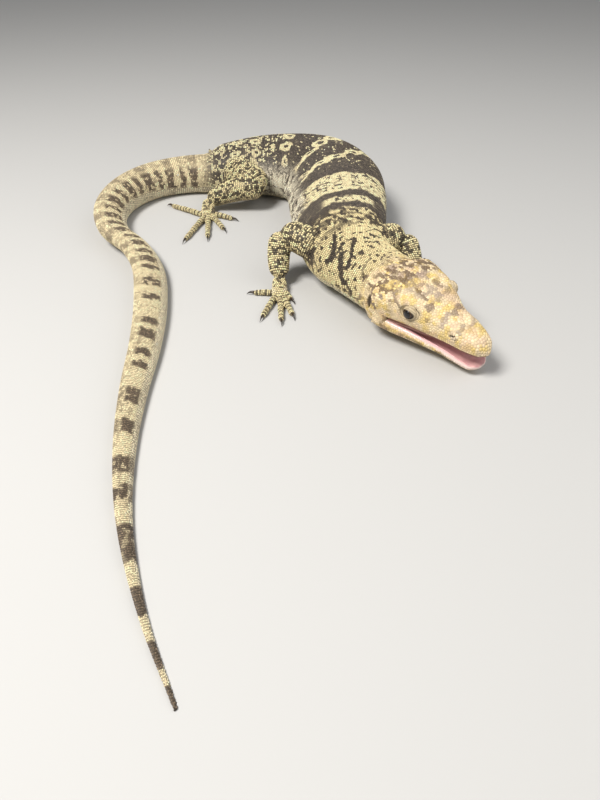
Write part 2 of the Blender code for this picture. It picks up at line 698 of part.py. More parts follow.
def make_limb(spine, side, kind, finish):
    """Upper and lower limb and foot; each is trimmed by what carries it."""
    if kind == "fore":
        body_from, body_to = 0.0, spine.station["rib"]
        joints, tips = FORE_LIMB[side], FORE_TIPS[side]
        root, bend, end = joints["shoulder"], joints["elbow"], joints["wrist"]
        names = ("upper_arm", "forearm", "hand")
        upper_radii, lower_radii = (13.5, 12.5, 10.2), (10.0, 9.4, 7.6)
        upper_lift, lower_lift = (0, 0, 2.0), (-1.5 if side == "right" else 1.5, 2, 0)
        thick, claw = 2.3, 6.0
    else:
        body_from, body_to = spine.station["flank"], spine.station["vent"] + 60.0
        joints, tips = HIND_LIMB[side], HIND_TIPS[side]
        root, bend, end = joints["hip"], joints["knee"], joints["ankle"]
        names = ("thigh", "shank", "foot")
        upper_radii, lower_radii = (15.5, 15.0, 12.0), (12.0, 11.0, 7.4)
        upper_lift, lower_lift = (0, 0, 1.0), (0, 0, 3.0)
        thick, claw = 2.45, 7.0
    upper_path = bent(root, bend, upper_lift)
    lower_path = bent(bend, end, lower_lift)

    upper = loft(f"{names[0]}_{side}", limb_tubes(upper_path, upper_radii), finish["skin_limb"])
    combine(upper, [body_cutter(spine, body_from, body_to)], "DIFFERENCE")

    lower = loft(f"{names[1]}_{side}", limb_tubes(lower_path, lower_radii), finish["skin_limb"])
    combine(lower, [loft("upper_cutter", limb_tubes(upper_path, upper_radii, GAP)),
                    body_cutter(spine, body_from, body_to)], "DIFFERENCE")

    pieces = foot_pieces(end, tips, thick, claw)
    foot = pieces[0]
    foot.name = f"{names[2]}_{side}"
    foot.data.materials.append(finish["skin_limb"])
    combine(foot, pieces[1:], "UNION")
    combine(foot, [loft("lower_cutter", limb_tubes(lower_path, lower_radii, GAP))], "DIFFERENCE")


def bounds(pieces):
    """Lowest and highest corner of all the pieces."""
    points = [v.co for piece in pieces for v in piece.data.vertices]
    low = Vector(min(p[k] for p in points) for k in range(3))
    high = Vector(max(p[k] for p in points) for k in range(3))
    return low, high


def main():
    for old in list(bpy.data.objects):
        bpy.data.objects.remove(old, do_unlink=True)
    finish = {name: material(name) for name in COLOURS}
    spine = Spine()
    make_body(spine, finish)
    make_head(spine, finish)
    for side in SIDES:
        for kind in ("fore", "hind"):
            make_limb(spine, side, kind, finish)
    pieces = list(bpy.context.scene.objects)
    low, high = bounds(pieces)
    middle = (low + high) / 2
    middle.z = low.z
    for piece in pieces:
        piece.data.transform(Matrix.Translation(-middle))


main()
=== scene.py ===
"""A water monitor lizard at life size, lying relaxed on a plain floor.

One skin covers the whole animal and follows the sections of the CAD solids, a little inside
them. Over it lie small scales, mostly in rows, each a dome limited by its neighbours. Skin and
scales are painted by the same function of the place on the body. Sizes are millimetres in the
working frame of the CAD source until a mesh is made.
"""

import itertools
import math

import bpy
import numpy as np
from mathutils import Matrix, Vector
from mathutils.bvhtree import BVHTree
from mathutils.kdtree import KDTree

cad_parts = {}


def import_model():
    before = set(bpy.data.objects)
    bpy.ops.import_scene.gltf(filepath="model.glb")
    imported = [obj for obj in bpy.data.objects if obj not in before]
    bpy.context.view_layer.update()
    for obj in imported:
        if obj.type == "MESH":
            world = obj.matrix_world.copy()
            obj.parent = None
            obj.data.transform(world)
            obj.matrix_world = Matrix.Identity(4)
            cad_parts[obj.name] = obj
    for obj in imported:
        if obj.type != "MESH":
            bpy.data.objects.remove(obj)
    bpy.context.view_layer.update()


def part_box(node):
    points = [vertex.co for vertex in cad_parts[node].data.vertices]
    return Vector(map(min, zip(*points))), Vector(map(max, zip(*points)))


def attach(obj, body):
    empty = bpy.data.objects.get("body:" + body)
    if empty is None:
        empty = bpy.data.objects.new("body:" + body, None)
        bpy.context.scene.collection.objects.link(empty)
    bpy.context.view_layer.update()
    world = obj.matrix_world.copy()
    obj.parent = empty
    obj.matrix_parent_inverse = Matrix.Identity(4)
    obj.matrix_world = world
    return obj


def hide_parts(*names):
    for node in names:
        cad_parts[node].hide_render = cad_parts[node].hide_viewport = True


MM = 0.001
SIDES = (("right", -1), ("left", 1))
LEG_NODES = ("upper_arm", "forearm", "hand", "thigh", "shank", "foot")
FLESH = (["head", "lower_jaw", "neck", "chest", "belly", "loin", "pelvis"]
         + [f"tail_{k}" for k in range(1, 7)]
         + [f"{node}_{side}" for side, _ in SIDES for node in LEG_NODES])

# Body sections from the nape to the tail base: centre x, y, half width, top, belly, lean.
TRUNK = {
    "nape":       (69.5, 98.3, 28.0, 48.0, 8.0, 0.5),
    "neck":       (54.0, 121.0, 28.0, 49.5, 7.0, 1.5),
    "shoulder":   (41.0, 147.0, 33.5, 52.0, 4.0, 3.0),
    "chest":      (36.0, 175.0, 37.0, 54.0, 1.0, 5.0),
    "rib":        (35.0, 208.0, 41.0, 56.0, -1.5, 8.0),
    "belly":      (35.0, 247.0, 44.5, 57.0, -2.5, 10.0),
    "bend":       (32.0, 291.0, 46.0, 58.0, -2.5, 11.0),
    "flank":      (16.0, 329.0, 42.0, 57.5, -2.5, 11.0),
    "loin":       (-20.0, 345.0, 34.0, 55.0, -1.5, 9.0),
    "hip":        (-60.0, 345.0, 27.0, 51.0, 0.0, 7.0),
    "vent":       (-91.0, 346.0, 21.5, 45.0, 0.0, 3.0),
}
BELLY_SQUARE = 0.82            # exponent that flattens the underside
BACK_ROUND = 0.94
WIDEST = 0.42                  # height of the widest level, as a share of the section
LINE_STEPS = 1200              # places at which the body's line is worked out
# The tail's line on the floor, and its height at each share of its length from the tip.
TAIL_LINE = ((-123.0, 344.0), (-155.0, 329.0), (-177.0, 300.0), (-184.0, 260.0),
             (-172.0, 222.0), (-149.0, 195.0), (-130.0, 160.0), (-116.5, 105.0),
             (-110.0, 47.0), (-108.5, 4.0), (-104.0, -44.0), (-92.5, -99.0),
             (-72.0, -152.0), (-51.0, -191.0))
TAIL_SHARE = (0.0, 0.07, 0.155, 0.25, 0.39, 0.48, 0.60, 0.80, 1.0)
TAIL_HEIGHT = (1.6, 4.6, 8.8, 14.0, 21.5, 25.5, 28.5, 32.5, 38.0)
TAIL_ROLL = math.radians(62)
TAIL_CREST = 0.07

# The head: where the occiput lies and how it is turned, then its half width and its height above
# the lips at each share of its length from the snout's tip.
HEAD_LENGTH = 95.0
HEAD_BACK = Vector((69.5, 98.3, 23.5))
HEAD_HEADING = math.atan2(-72.0, 51.0)
HEAD_PITCH = math.radians(2)
HEAD_ROLL = math.radians(10)
HEAD_SHARE = (0.0, 0.04, 0.10, 0.18, 0.28, 0.38, 0.48, 0.58, 0.70, 0.82, 0.92, 1.0)
HEAD_WIDTH = (4.2, 7.6, 10.0, 11.8, 13.6, 16.2, 19.5, 22.4, 26.4, 29.6, 30.0, 28.6)
HEAD_TOP = (4.6, 8.8, 12.0, 14.0, 15.2, 17.2, 20.8, 24.2, 26.6, 27.0, 26.2, 24.8)
MOUTH_CORNER = 0.77            # a share of the head's length, as all of these are
THROAT_DROP = 15.5
GAPE = math.radians(9.5)
JAW_SHARE = (0.02, 0.06, 0.14, 0.30, 0.50, 0.70, 0.88)
JAW_DEPTH = (3.4, 5.2, 6.8, 8.4, 10.4, 13.2, 15.0)
JAW_INSET = (0.96, 1.03)
JAW_START = 0.025
# Rows of scales along the lips: height, gape and spacing.
LIP_ROWS = ((1.2, 0, 1.8), (3.0, 0, 1.6), (4.5, 0, 1.5), (-3.4, GAPE, 1.8), (-5.1, GAPE, 1.7))
# Eyes, nostrils and ears: share of the head's length, height above the lips and sizes.
EYE_SHARE = 0.572
EYE_HEIGHT = 14.8
EYE_RADIUS = 5.2
EYE_SINK = 4.0
EYE_OPEN = (4.5, 3.1)          # half length and half height of the gap between the lids
EYE_BACK = -3                  # how far inwards an eye's surroundings reach
LID_REACH = 2.0                # outer edge of the lids, as a multiple of the gap
LID_AROUND = 96
LID_ROWS = 26
NOSTRIL = (0.235, 10.6, 9.6)
EAR = (0.92, 30.4, 10.5)
# Nostril and ear: place, half length and half height, tilt, depth, raised rim, painted shade
# inside the pit, and how far from its middle the scales begin.
OPENINGS = ((NOSTRIL, (2.1, 1.15), 0.5, 1.6, 0.20, 0.9, 1.35),
            (EAR, (3.3, 6.2), -0.25, 1.8, 0.30, 0.95, 1.12))
OPENING_REACH = 6              # how far inwards and outwards a nostril or an ear reaches
# Ridges and hollows on top of the skull: height, share, spread, level across, spread.
SKULL_TOP = ((2.6, EYE_SHARE + 0.02, 0.10, 0.78, 0.26), (1.2, NOSTRIL[0], 0.07, 0.60, 0.35),
             (-0.7, 0.17, 0.07, 0.0, 0.16), (-0.8, 0.60, 0.14, 0.25, 0.20))
# Hollows in its sides: depth, share, spread, height as a share of the top, spread.
SKULL_SIDE = ((1.1, 0.37, 0.09, 0.62, 0.22), (0.9, 0.70, 0.05, 0.52, 0.22))

# The joints of each leg: root, bend, and wrist or ankle. Below them are the tips of the claws.
FORE_LIMB = {
    "right": ((17.0, 148.0, 30.0), (-15.0, 163.0, 39.0), (-17.0, 142.0, 9.0)),
    "left": ((60.0, 156.0, 30.0), (86.0, 166.0, 34.5), (94.0, 142.0, 9.0)),
}
HIND_LIMB = {
    "right": ((-74.0, 331.0, 28.0), (-37.0, 293.0, 26.0), (-94.0, 296.0, 9.5)),
    "left": ((-74.0, 360.0, 28.0), (-40.0, 397.0, 25.0), (-96.0, 394.0, 9.5)),
}
FORE_TIPS = {
    "right": ((-4.0, 114.0), (-4.0, 91.0), (-14.0, 83.0), (-31.0, 89.0), (-44.0, 130.0)),
    "left": ((84.0, 113.0), (92.0, 88.0), (105.0, 84.0), (119.0, 92.0), (124.0, 128.0)),
}
HIND_TIPS = {
    "right": ((-61.0, 266.0), (-71.0, 240.0), (-87.0, 222.0), (-110.0, 217.0), (-139.0, 304.0)),
    "left": ((-64.0, 425.0), (-75.0, 451.0), (-92.0, 467.0), (-115.0, 470.0), (-141.0, 387.0)),
}
# Radii of a leg's upper and lower part, thickness of its digits and length of its claws.
LEG_FORM = {
    "fore": ((13.5, 12.5, 10.2), (10.0, 9.4, 7.6), 2.3, 6.0),
    "hind": ((15.5, 15.0, 12.0), (12.0, 11.0, 7.4), 2.45, 7.0),
}
# How far the middle of each of the two parts lies off the straight line.
LEG_BENDS = {
    "fore_right": ((0, 0, 2.0), (-1.5, 2, 0)),
    "fore_left": ((0, 0, 2.0), (1.5, 2, 0)),
    "hind_right": ((0, 0, 1.0), (0, 0, 3.0)),
    "hind_left": ((0, 0, 1.0), (0, 0, 3.0)),
}
PALM_SHARE = 0.36              # knuckles' distance from the wrist, as a share of the reach
PALM_RADII = (2.3, 2.7, 3.1)   # these and the next are multiples of a digit's thickness
PALM_FLAT = 0.5
DIGIT_LINE = ((0, 1.15), (0.40, 1.3), (0.75, 1.05), (1.0, 0.95))
DIGIT_RADII = (1.15, 1.02, 1.12, 0.94, 1.06, 0.90, 0.98, 0.72)
CLAW_OVERLAP = 1.2             # how far a claw starts inside its digit
CLAW_STATIONS = 12
# Height of a claw in its digit's thicknesses, and its radius, at shares of its length.
CLAW_LINE = ((0, 0.35, 0.65, 0.85, 1.0), (1.05, 1.22, 1.0, 0.62, 0.22))
CLAW_RADII = ((0, 0.2, 0.6, 1.0), (1.25, 1.15, 0.72, 0.10))
MOUTH_ROWS = 60
MOUTH_COLUMNS = 41

INSET = 0.35                   # the skin lies this far inside the solids
FLOOR_CLEAR = 0.15             # lowest level of the skin
SCALE_CLEAR = 0.02             # lowest level of a scale
BODY_VOXEL = 1.0
HEAD_VOXEL = 0.6
PIECE_SCALES = 10500           # most scales in one coat piece, at 18 triangles each
NOISE_CELLS = 24
SCALE_SIDES = 6
FAR = 9.0                      # a reach longer than any scale's
SCALE_POINTS = 2 * SCALE_SIDES + 1  # a rim, a shoulder and the top
HEAD_TRIES = 70000             # scattered places from which the head's scales are thinned
BODY_TRIES = 150000            # the same for the places between the body's rows
# How each region's scales are formed: share of their room at the rim and at the shoulder,
# height, painted shade on the rim, and the painted shade of the skin in the grooves between them.
SCALE_FORM = {
    "head": (0.99, 0.84, 0.15, 0.86, 0.80),
    "body": (0.90, 0.68, 0.40, 0.40, 0.22),
    "tail": (0.92, 0.72, 0.34, 0.52, 0.36),
    "limb": (0.90, 0.66, 0.44, 0.34, 0.16),
}
SCALE_SLOTS = {"head": "skin_head", "body": "skin", "tail": "skin_tail", "limb": "skin_limb"}


def hermite(knots, values, at):
    """A smooth curve through values, which may be rows, read at the places given."""
    knots = np.asarray(knots, float)
    values = np.asarray(values, float)
    at = np.clip(np.atleast_1d(np.asarray(at, float)), knots[0], knots[-1])
    slope = np.gradient(values, knots, axis=0)
    i = np.clip(np.searchsorted(knots, at, side="right") - 1, 0, len(knots) - 2)
    span = knots[i + 1] - knots[i]
    u = (at - knots[i]) / span
    if values.ndim > 1:
        u, span = u[:, None], span[:, None]
    start = (1 + 2 * u) * (1 - u) ** 2 * values[i] + u * (1 - u) ** 2 * span * slope[i]
    end = u * u * (3 - 2 * u) * values[i + 1] - u * u * (1 - u) * span * slope[i + 1]
    return start + end


def smoothstep(low, high, x):
    """0 below low, 1 above high, and a soft change between."""
    u = np.clip((x - low) / (high - low), 0.0, 1.0)
    return u * u * (3 - 2 * u)


def bump(x, middle, width):
    """A rounded hill of height 1 at middle."""
    return np.exp(-((x - middle) / width) ** 2)


def power(x, exponent):
    """x to a power, keeping its sign."""
    return np.sign(x) * np.abs(x) ** exponent


def unit(v):
    """Vectors of length 1 in the same directions."""
    return v / np.maximum(np.linalg.norm(v, axis=-1, keepdims=True), 1e-9)


def srgb(red, green, blue):
    """A display colour as linear light."""
    c = np.array([red, green, blue]) / 255
    return np.where(c <= 0.04045, c / 12.92, ((c + 0.055) / 1.055) ** 2.4)


def noise(points, size, seed):
    """Smooth random values from -1 to 1 at points, with features of the given size."""
    lattice = np.random.default_rng(seed).uniform(-1, 1, (NOISE_CELLS,) * 3)
    place = points / size
    cell = np.floor(place).astype(int)
    f = place - cell
    f = f * f * (3 - 2 * f)
    total = np.zeros(len(points))
    for corner in itertools.product((0, 1), repeat=3):
        at = (cell + corner) % NOISE_CELLS
        weight = np.prod(np.where(corner, f, 1 - f), axis=1)
        total += weight * lattice[at[:, 0], at[:, 1], at[:, 2]]
    return total


def flecks(points, size, seed, low, high):
    """Random patches: 0 where the noise is below low and 1 where it is above high."""
    return smoothstep(low, high, noise(points, size, seed))


def from_back(angle):
    """Degrees from the middle of the back, for an angle counted from the animal's left."""
    return (np.degrees(angle) - 90 + 180) % 360 - 180


def search_tree(points):
    """A tree that finds the nearest of the points."""
    tree = KDTree(len(points))
    for k, p in enumerate(points):
        tree.insert(p, k)
    tree.balance()
    return tree


class Spine:
    """The body's line on the floor and its section at each distance from the nape."""

    def __init__(self):
        rows = list(TRUNK.values())
        points = np.array([row[:2] for row in rows] + list(TAIL_LINE))
        knots = np.concatenate([[0], np.cumsum(np.linalg.norm(np.diff(points, axis=0), axis=1))])
        fine = np.linspace(0, knots[-1], LINE_STEPS)
        self.line = hermite(knots, points, fine)
        along = np.linalg.norm(np.diff(self.line, axis=0), axis=1)
        self.distance = np.concatenate([[0], np.cumsum(along)])
        self.length = self.distance[-1]
        self.station = dict(zip(TRUNK, np.interp(knots[:len(rows)], fine, self.distance)))
        self.trunk_knots = np.array(list(self.station.values()))
        self.trunk_sizes = np.array([row[2:] for row in rows])
        self.tail_start = self.station["vent"]
        self.tree = search_tree([(x, y, 0) for x, y in self.line])

    def on_line(self, s):
        """Places on the floor at distances s, going straight on before the nape."""
        flat = np.stack([np.interp(s, self.distance, self.line[:, k]) for k in (0, 1)], -1)
        start = unit(self.line[0] - self.line[12])
        return flat + start * np.maximum(-s, 0)[:, None]

    def place(self, s):
        """Centre, and the unit vector to the animal's left, at distance s."""
        reach = 3.0
        ahead = unit(self.on_line(s - reach) - self.on_line(s + reach))
        return self.on_line(s), np.stack([-ahead[:, 1], ahead[:, 0]], -1)

    def tail_part(self, s):
        """0 on the trunk and 1 on the tail."""
        return smoothstep(self.tail_start - 10, self.tail_start + 12, s)

    def tail_sizes(self, s):
        """Half height, half width, roll and height of the middle of the tail's section."""
        share = np.clip((self.length - s) / (self.length - self.tail_start), 0, 1)
        high = hermite(TAIL_SHARE, TAIL_HEIGHT, share) / 2
        wide = high * (0.60 + 0.44 * smoothstep(0.62, 1.0, share))
        roll = TAIL_ROLL * (1 - smoothstep(0.66, 0.98, share))
        lift = 0.95 * np.hypot(high * np.cos(roll), wide * np.sin(roll))
        return high, wide, roll, lift

    def section(self, s, angle, grow):
        """Across, to the left, and up on the outline of the section."""
        half, top, belly, lean = hermite(self.trunk_knots, self.trunk_sizes, s).T
        c, n = np.cos(angle), np.sin(angle)
        middle = belly + (top - belly) * WIDEST
        above = n >= 0
        across = (half + grow) * np.where(above, power(c, BACK_ROUND), power(c, BELLY_SQUARE))
        across += np.where(above, lean * n, 0)
        up = middle + np.where(above, (top - middle + grow) * n,
                               (middle - belly + grow) * power(n, BELLY_SQUARE))
        high, wide, roll, lift = self.tail_sizes(s)
        a = (wide + grow) * c
        u = (high * (1 + TAIL_CREST * np.maximum(n, 0) ** 8) + grow) * n
        blend = self.tail_part(s)
        across = across * (1 - blend) + (a * np.cos(roll) + u * np.sin(roll)) * blend
        up = up * (1 - blend) + (lift + u * np.cos(roll) - a * np.sin(roll)) * blend
        return across, up

    def surface(self, s, angle, grow=0.0):
        """Points of the body's surface, moved outwards by grow."""
        s, angle = np.broadcast_arrays(np.atleast_1d(s), np.atleast_1d(angle))
        across, up = self.section(s, angle, grow)
        centre, left = self.place(s)
        return np.column_stack([centre + left * across[:, None], np.maximum(up, FLOOR_CLEAR)])

    def coordinates(self, points):
        """Distance along, degrees round from the back towards the right, radius against the
        section's, and the direction towards the tail."""
        nearest = np.array([self.tree.find((p[0], p[1], 0))[1] for p in points])
        s = self.distance[nearest]
        centre, left = self.place(s)
        ahead = np.stack([left[:, 1], -left[:, 0]], -1)
        offset = points[:, :2] - centre
        s = s - (offset * ahead).sum(1)
        across = (offset * left).sum(1)
        half, top, belly, lean = hermite(self.trunk_knots, self.trunk_sizes, s).T
        middle = belly + (top - belly) * WIDEST
        z = points[:, 2]
        v = np.where(z > middle, (z - middle) / (top - middle), (z - middle) / (middle - belly))
        a = (across - lean * np.clip(v, 0, 1)) / half
        high, wide, roll, lift = self.tail_sizes(s)
        tail_a = (across * np.cos(roll) - (z - lift) * np.sin(roll)) / wide
        tail_v = (across * np.sin(roll) + (z - lift) * np.cos(roll)) / high
        blend = self.tail_part(s)
        a = a * (1 - blend) + tail_a * blend
        v = v * (1 - blend) + tail_v * blend
        back = np.column_stack([-ahead, np.zeros(len(points))])
        return s, np.degrees(np.arctan2(-a, v)), np.hypot(a, v), back


def head_matrix():
    """Takes head coordinates (forward from the occiput, left, up) to the working frame."""
    turn = Matrix.Rotation(HEAD_HEADING, 4, "Z") @ Matrix.Rotation(HEAD_PITCH, 4, "Y")
    return Matrix.Translation(HEAD_BACK) @ turn @ Matrix.Rotation(HEAD_ROLL, 4, "X")


HEAD = np.array(head_matrix())
HINGE = HEAD_LENGTH * (1 - MOUTH_CORNER)


def hinged(forward, up, gape):
    """A place of the head turned down about the jaw's hinge."""
    ahead = forward - HINGE
    turned = HINGE + ahead * math.cos(gape) + up * math.sin(gape)
    return turned, up * math.cos(gape) - ahead * math.sin(gape)


def head_place(share, across, up, gape=0.0):
    """Points of the head, by their share of the length from the snout tip."""
    place = (np.atleast_1d(x).astype(float) for x in (share, across, up))
    share, across, up = np.broadcast_arrays(*place)
    forward = HEAD_LENGTH * (1 - share)
    if gape:
        forward, up = hinged(forward, up, gape)
    local = np.stack([forward, across, up], -1)
    return local @ HEAD[:3, :3].T + HEAD[:3, 3]


def head_local(points, gape=0.0):
    """Share, across and up of points of the head, or of the lowered jaw."""
    forward, across, up = ((points - HEAD[:3, 3]) @ HEAD[:3, :3]).T
    if gape:
        forward, up = hinged(forward, up, -gape)
    return 1 - forward / HEAD_LENGTH, across, up


def head_half(share):
    """Half the head's width."""
    return hermite(HEAD_SHARE, HEAD_WIDTH, share)


def head_top(share):
    """Height of the head above the line of the lips."""
    return hermite(HEAD_SHARE, HEAD_TOP, share)


def rounded(share, start, length):
    """0 at a blunt end and 1 past the length over which it is rounded off."""
    u = np.clip((share - start) / length, 0.004, 1)
    return np.sqrt(u * (2 - u))


def skull_half(share, grow):
    """Half the skull's width, rounded off at the snout."""
    return (head_half(share) + grow) * (0.15 + 0.85 * rounded(share, 0.0, 0.055))


def jaw_half(share, grow):
    """Half the lower jaw's width, rounded off at its tip."""
    inset = JAW_INSET[0] + (JAW_INSET[1] - JAW_INSET[0]) * smoothstep(0.1, 0.7, share)
    return (head_half(share) * inset + grow) * (0.10 + 0.90 * rounded(share, JAW_START, 0.060))


def mouth_roof(share, level):
    """How far the roof of the mouth arches above the lips."""
    arch = 3.4 * smoothstep(0.03, 0.22, share) * smoothstep(0.78, 0.70, share)
    return arch * smoothstep(0.84, 0.60, level)


def mouth_floor(share, level):
    """How far the floor of the mouth lies below the lips."""
    deep = 2.8 * smoothstep(0.05, 0.16, share) * smoothstep(0.76, 0.66, share)
    return deep * smoothstep(0.84, 0.62, level)


def skull(share, angle, grow):
    """The skull's surface with its ridges, hollows and lips."""
    share, angle = np.broadcast_arrays(share, angle)
    half = skull_half(share, grow)
    top = (head_top(share) + grow) * (0.55 + 0.45 * rounded(share, 0.0, 0.055))
    side = 0.36 * top
    c, n = np.cos(angle), np.sin(angle)
    above = n >= 0
    across = half * np.where(above, power(c, 0.80), power(c, 0.50) * (1 - 0.05 * np.abs(n)))
    up = np.where(above, side + (top - side) * power(n, 0.82),
                  side + (side + grow) * power(n, 0.60))
    level = np.abs(across) / half
    up = up + np.where(above, hills(SKULL_TOP, share, level), 0)
    inward = hills(SKULL_SIDE, share, up / top)
    inward += 0.5 * bump(share, 0.40, 0.26) * bump(up, 4.6, 1.0)
    lip = 0.45 * bump(up, 1.7, 1.3) * smoothstep(0.05, 0.15, share)
    across = across + np.sign(c) * (lip - inward) * smoothstep(0.10, 0.40, np.abs(c))
    return head_place(share, across, up + mouth_roof(share, level) * smoothstep(-0.55, -0.9, n))


def hills(forms, x, y):
    """The sum of rounded hills, each given by its height, and its place and spread on x and y."""
    return sum(high * bump(x, at, wide) * bump(y, over, deep) for high, at, wide, over, deep in forms)


def jaw(share, angle, grow):
    """The lower jaw's surface, with its lip rim and the hollow floor of the mouth."""
    share, angle = np.broadcast_arrays(share, angle)
    half = jaw_half(share, grow)
    tip = rounded(share, JAW_START, 0.060)
    depth = (hermite(JAW_SHARE, JAW_DEPTH, share) + grow) * (0.45 + 0.55 * tip)
    c, n = np.cos(angle), np.sin(angle)
    across = half * np.where(n > 0, power(c, 0.62), power(c, 0.85))
    up = np.where(n > 0, 0.30 * depth * (power(n, 0.5) - 1), depth * (0.70 * power(n, 0.9) - 0.30))
    hollow = mouth_floor(share, np.abs(across) / half) * smoothstep(0.3, 0.6, n)
    rim = 0.35 * bump(up, -1.2, 1.2) * smoothstep(0.3, 0.9, np.abs(c))
    return head_place(share, across + np.sign(c) * rim, up - hollow, GAPE)


def head_back(share, angle, grow):
    """The head behind the corner of the mouth, with the throat."""
    share, angle = np.broadcast_arrays(share, angle)
    half, top = head_half(share) + grow, head_top(share) + grow
    c, n = np.cos(angle), np.sin(angle)
    across = half * power(c, 0.86)
    up = np.where(n > 0, top * power(n, 0.82), (THROAT_DROP + grow) * power(n, 0.86))
    return head_place(share, across, up)


def grid(function, along, around, *more):
    """Rings of points: one row for each place along, closed round."""
    angles = np.arange(around) * 2 * math.pi / around
    rows, turns = np.meshgrid(along, angles, indexing="ij")
    return function(rows.ravel(), turns.ravel(), *more).reshape(len(along), around, 3)


def ring_quads(rows, around):
    """Quads between rings of points, closed round."""
    start = np.arange(rows - 1)[:, None] * around
    k = start + np.arange(around)
    after = start + (np.arange(around) + 1) % around
    return np.stack([k, after, after + around, k + around], -1).reshape(-1, 4)


def shell(rings):
    """Points and faces of a closed loft with a fan at each end, their normals outwards."""
    rows, around = rings.shape[:2]
    points = np.concatenate([rings.reshape(-1, 3), rings[:1].mean(1), rings[-1:].mean(1)])
    k = np.arange(around)
    following = (k + 1) % around
    first, last = len(points) - 2, len(points) - 1
    ends = (rows - 1) * around
    fans = [np.stack([np.full(around, first), following, k], -1),
            np.stack([np.full(around, last), ends + k, ends + following], -1)]
    faces = ring_quads(rows, around).tolist() + np.concatenate(fans).tolist()
    corners_of = ([face[min(k, len(face) - 1)] for face in faces] for k in range(4))
    a, b, c, d = (points[corner] - points[0] for corner in corners_of)
    if (a * (np.cross(b, c) + np.cross(c, d))).sum() < 0:
        faces = [face[::-1] for face in faces]
    return points, faces


def hoops(centres, size, side, up, sides):
    """Rings of points round the centres, spanned by two directions."""
    angle = np.arange(sides) * 2 * math.pi / sides
    c = np.cos(angle)[None, :, None]
    n = np.sin(angle)[None, :, None]
    return centres[:, None] + size[:, None, None] * (side[:, None] * c + up[:, None] * n)


def tube(path, radii, sides, spacing, flat=1.0):
    """Rings along a smooth line, with rounded ends, and the line itself."""
    path = np.array(path, float)
    knots = np.concatenate([[0], np.cumsum(np.linalg.norm(np.diff(path, axis=0), axis=1))])
    length = knots[-1]
    where = np.linspace(0, length, max(6, int(length / spacing)))
    size = hermite(np.linspace(0, length, len(radii)), radii, where)
    for end in (where, length - where):
        near = np.clip(end / size, 0, 1)
        size = size * np.sqrt(np.maximum(1 - (1 - near) ** 2, 0.03))
    centres = hermite(knots, path, where)
    lead = unit(hermite(knots, path, where + 0.5) - hermite(knots, path, where - 0.5))
    side = unit(np.cross(lead, (0, 0, 1.0)))
    up = np.cross(side, lead)
    ring = hoops(centres, size, side, flat * up, sides)
    ring[..., 2] = np.maximum(ring[..., 2], FLOOR_CLEAR)
    return {"rings": ring, "where": where, "centres": centres, "lead": lead, "side": side,
            "up": up, "size": size, "length": length}


def bent(a, b, lift):
    """A line from a to b whose middle is moved by lift."""
    a, b = np.array(a), np.array(b)
    return [a, (a + b) / 2 + np.array(lift), b]


def limb_parts():
    """The tubes of every leg: upper, lower, palm and digits, with the claws' lines."""
    parts, claws = [], []
    for side, _ in SIDES:
        for kind, joints, tips in (("fore", FORE_LIMB[side], FORE_TIPS[side]),
                                   ("hind", HIND_LIMB[side], HIND_TIPS[side])):
            upper, lower, thick, claw = LEG_FORM[kind]
            bends = LEG_BENDS[f"{kind}_{side}"]
            for k, (part, radii) in enumerate((("upper", upper), ("lower", lower))):
                line = bent(joints[k], joints[k + 1], bends[k])
                made = tube(line, [r - INSET for r in radii], 40, 1.2)
                parts.append({"part": part, **made})
            digits, hooks = foot(np.array(joints[2]), tips, thick, claw)
            parts += digits
            claws += hooks
    return parts, claws


def foot(wrist, tips, thick, claw):
    """Palm and five digits with swollen joints; the line of each claw."""
    middle = np.mean(tips[1:4], axis=0)
    ahead = np.array([middle[0] - wrist[0], middle[1] - wrist[1], 0])
    reach = np.linalg.norm(ahead)
    ahead /= reach
    across = np.array([-ahead[1], ahead[0], 0])
    knuckle = wrist + ahead * reach * PALM_SHARE
    palm = [wrist - ahead * thick * 0.8, wrist + ahead * reach * PALM_SHARE * 0.45, knuckle.copy()]
    for p, z in zip(palm, (wrist[2], wrist[2] * 0.72, thick * 1.15)):
        p[2] = z
    made = tube(palm, np.array(PALM_RADII) * thick - INSET, 32, 1.0, flat=PALM_FLAT)
    parts = [{"part": "palm", **made}]
    claws = []
    for tip in tips:
        out = np.array([tip[0] - knuckle[0], tip[1] - knuckle[1], 0])
        side = float(np.clip(unit(out) @ across, -1, 1))
        root = knuckle + across * side * thick * 2.6 - ahead * thick * (0.6 + 2.0 * abs(side))
        run = np.array([tip[0] - root[0], tip[1] - root[1], 0])
        length = np.linalg.norm(run)
        run /= length
        path = []
        for u, z in DIGIT_LINE:
            p = root + run * (length - claw) * u
            path.append((p[0], p[1], z * thick))
        radii = thick * np.array(DIGIT_RADII) - INSET * 0.6
        parts.append({"part": "digit", **tube(path, radii, 20, 0.8)})
        claws.append({"start": np.array(path[-1]) - run * CLAW_OVERLAP, "run": run,
                      "length": claw + CLAW_OVERLAP, "thick": thick})
    return parts, claws


def mesh_object(name, points, faces, middle, smooth=True):
    """A mesh from points in millimetres of the working frame."""
    mesh = bpy.data.meshes.new(name)
    where = points * MM - middle
    if isinstance(faces, list):
        mesh.from_pydata(where.tolist(), [], faces)
    else:
        sides = faces.shape[1]
        mesh.vertices.add(len(points))
        mesh.vertices.foreach_set("co", where.astype(np.float32).ravel())
        mesh.loops.add(faces.size)
        mesh.loops.foreach_set("vertex_index", faces.astype(np.int32).ravel())
        mesh.polygons.add(len(faces))
        mesh.polygons.foreach_set("loop_start", np.arange(0, faces.size, sides, dtype=np.int32))
        mesh.update(calc_edges=True)
    if smooth:
        mesh.shade_smooth()
    made = bpy.data.objects.new(name, mesh)
    bpy.context.scene.collection.objects.link(made)
    return made


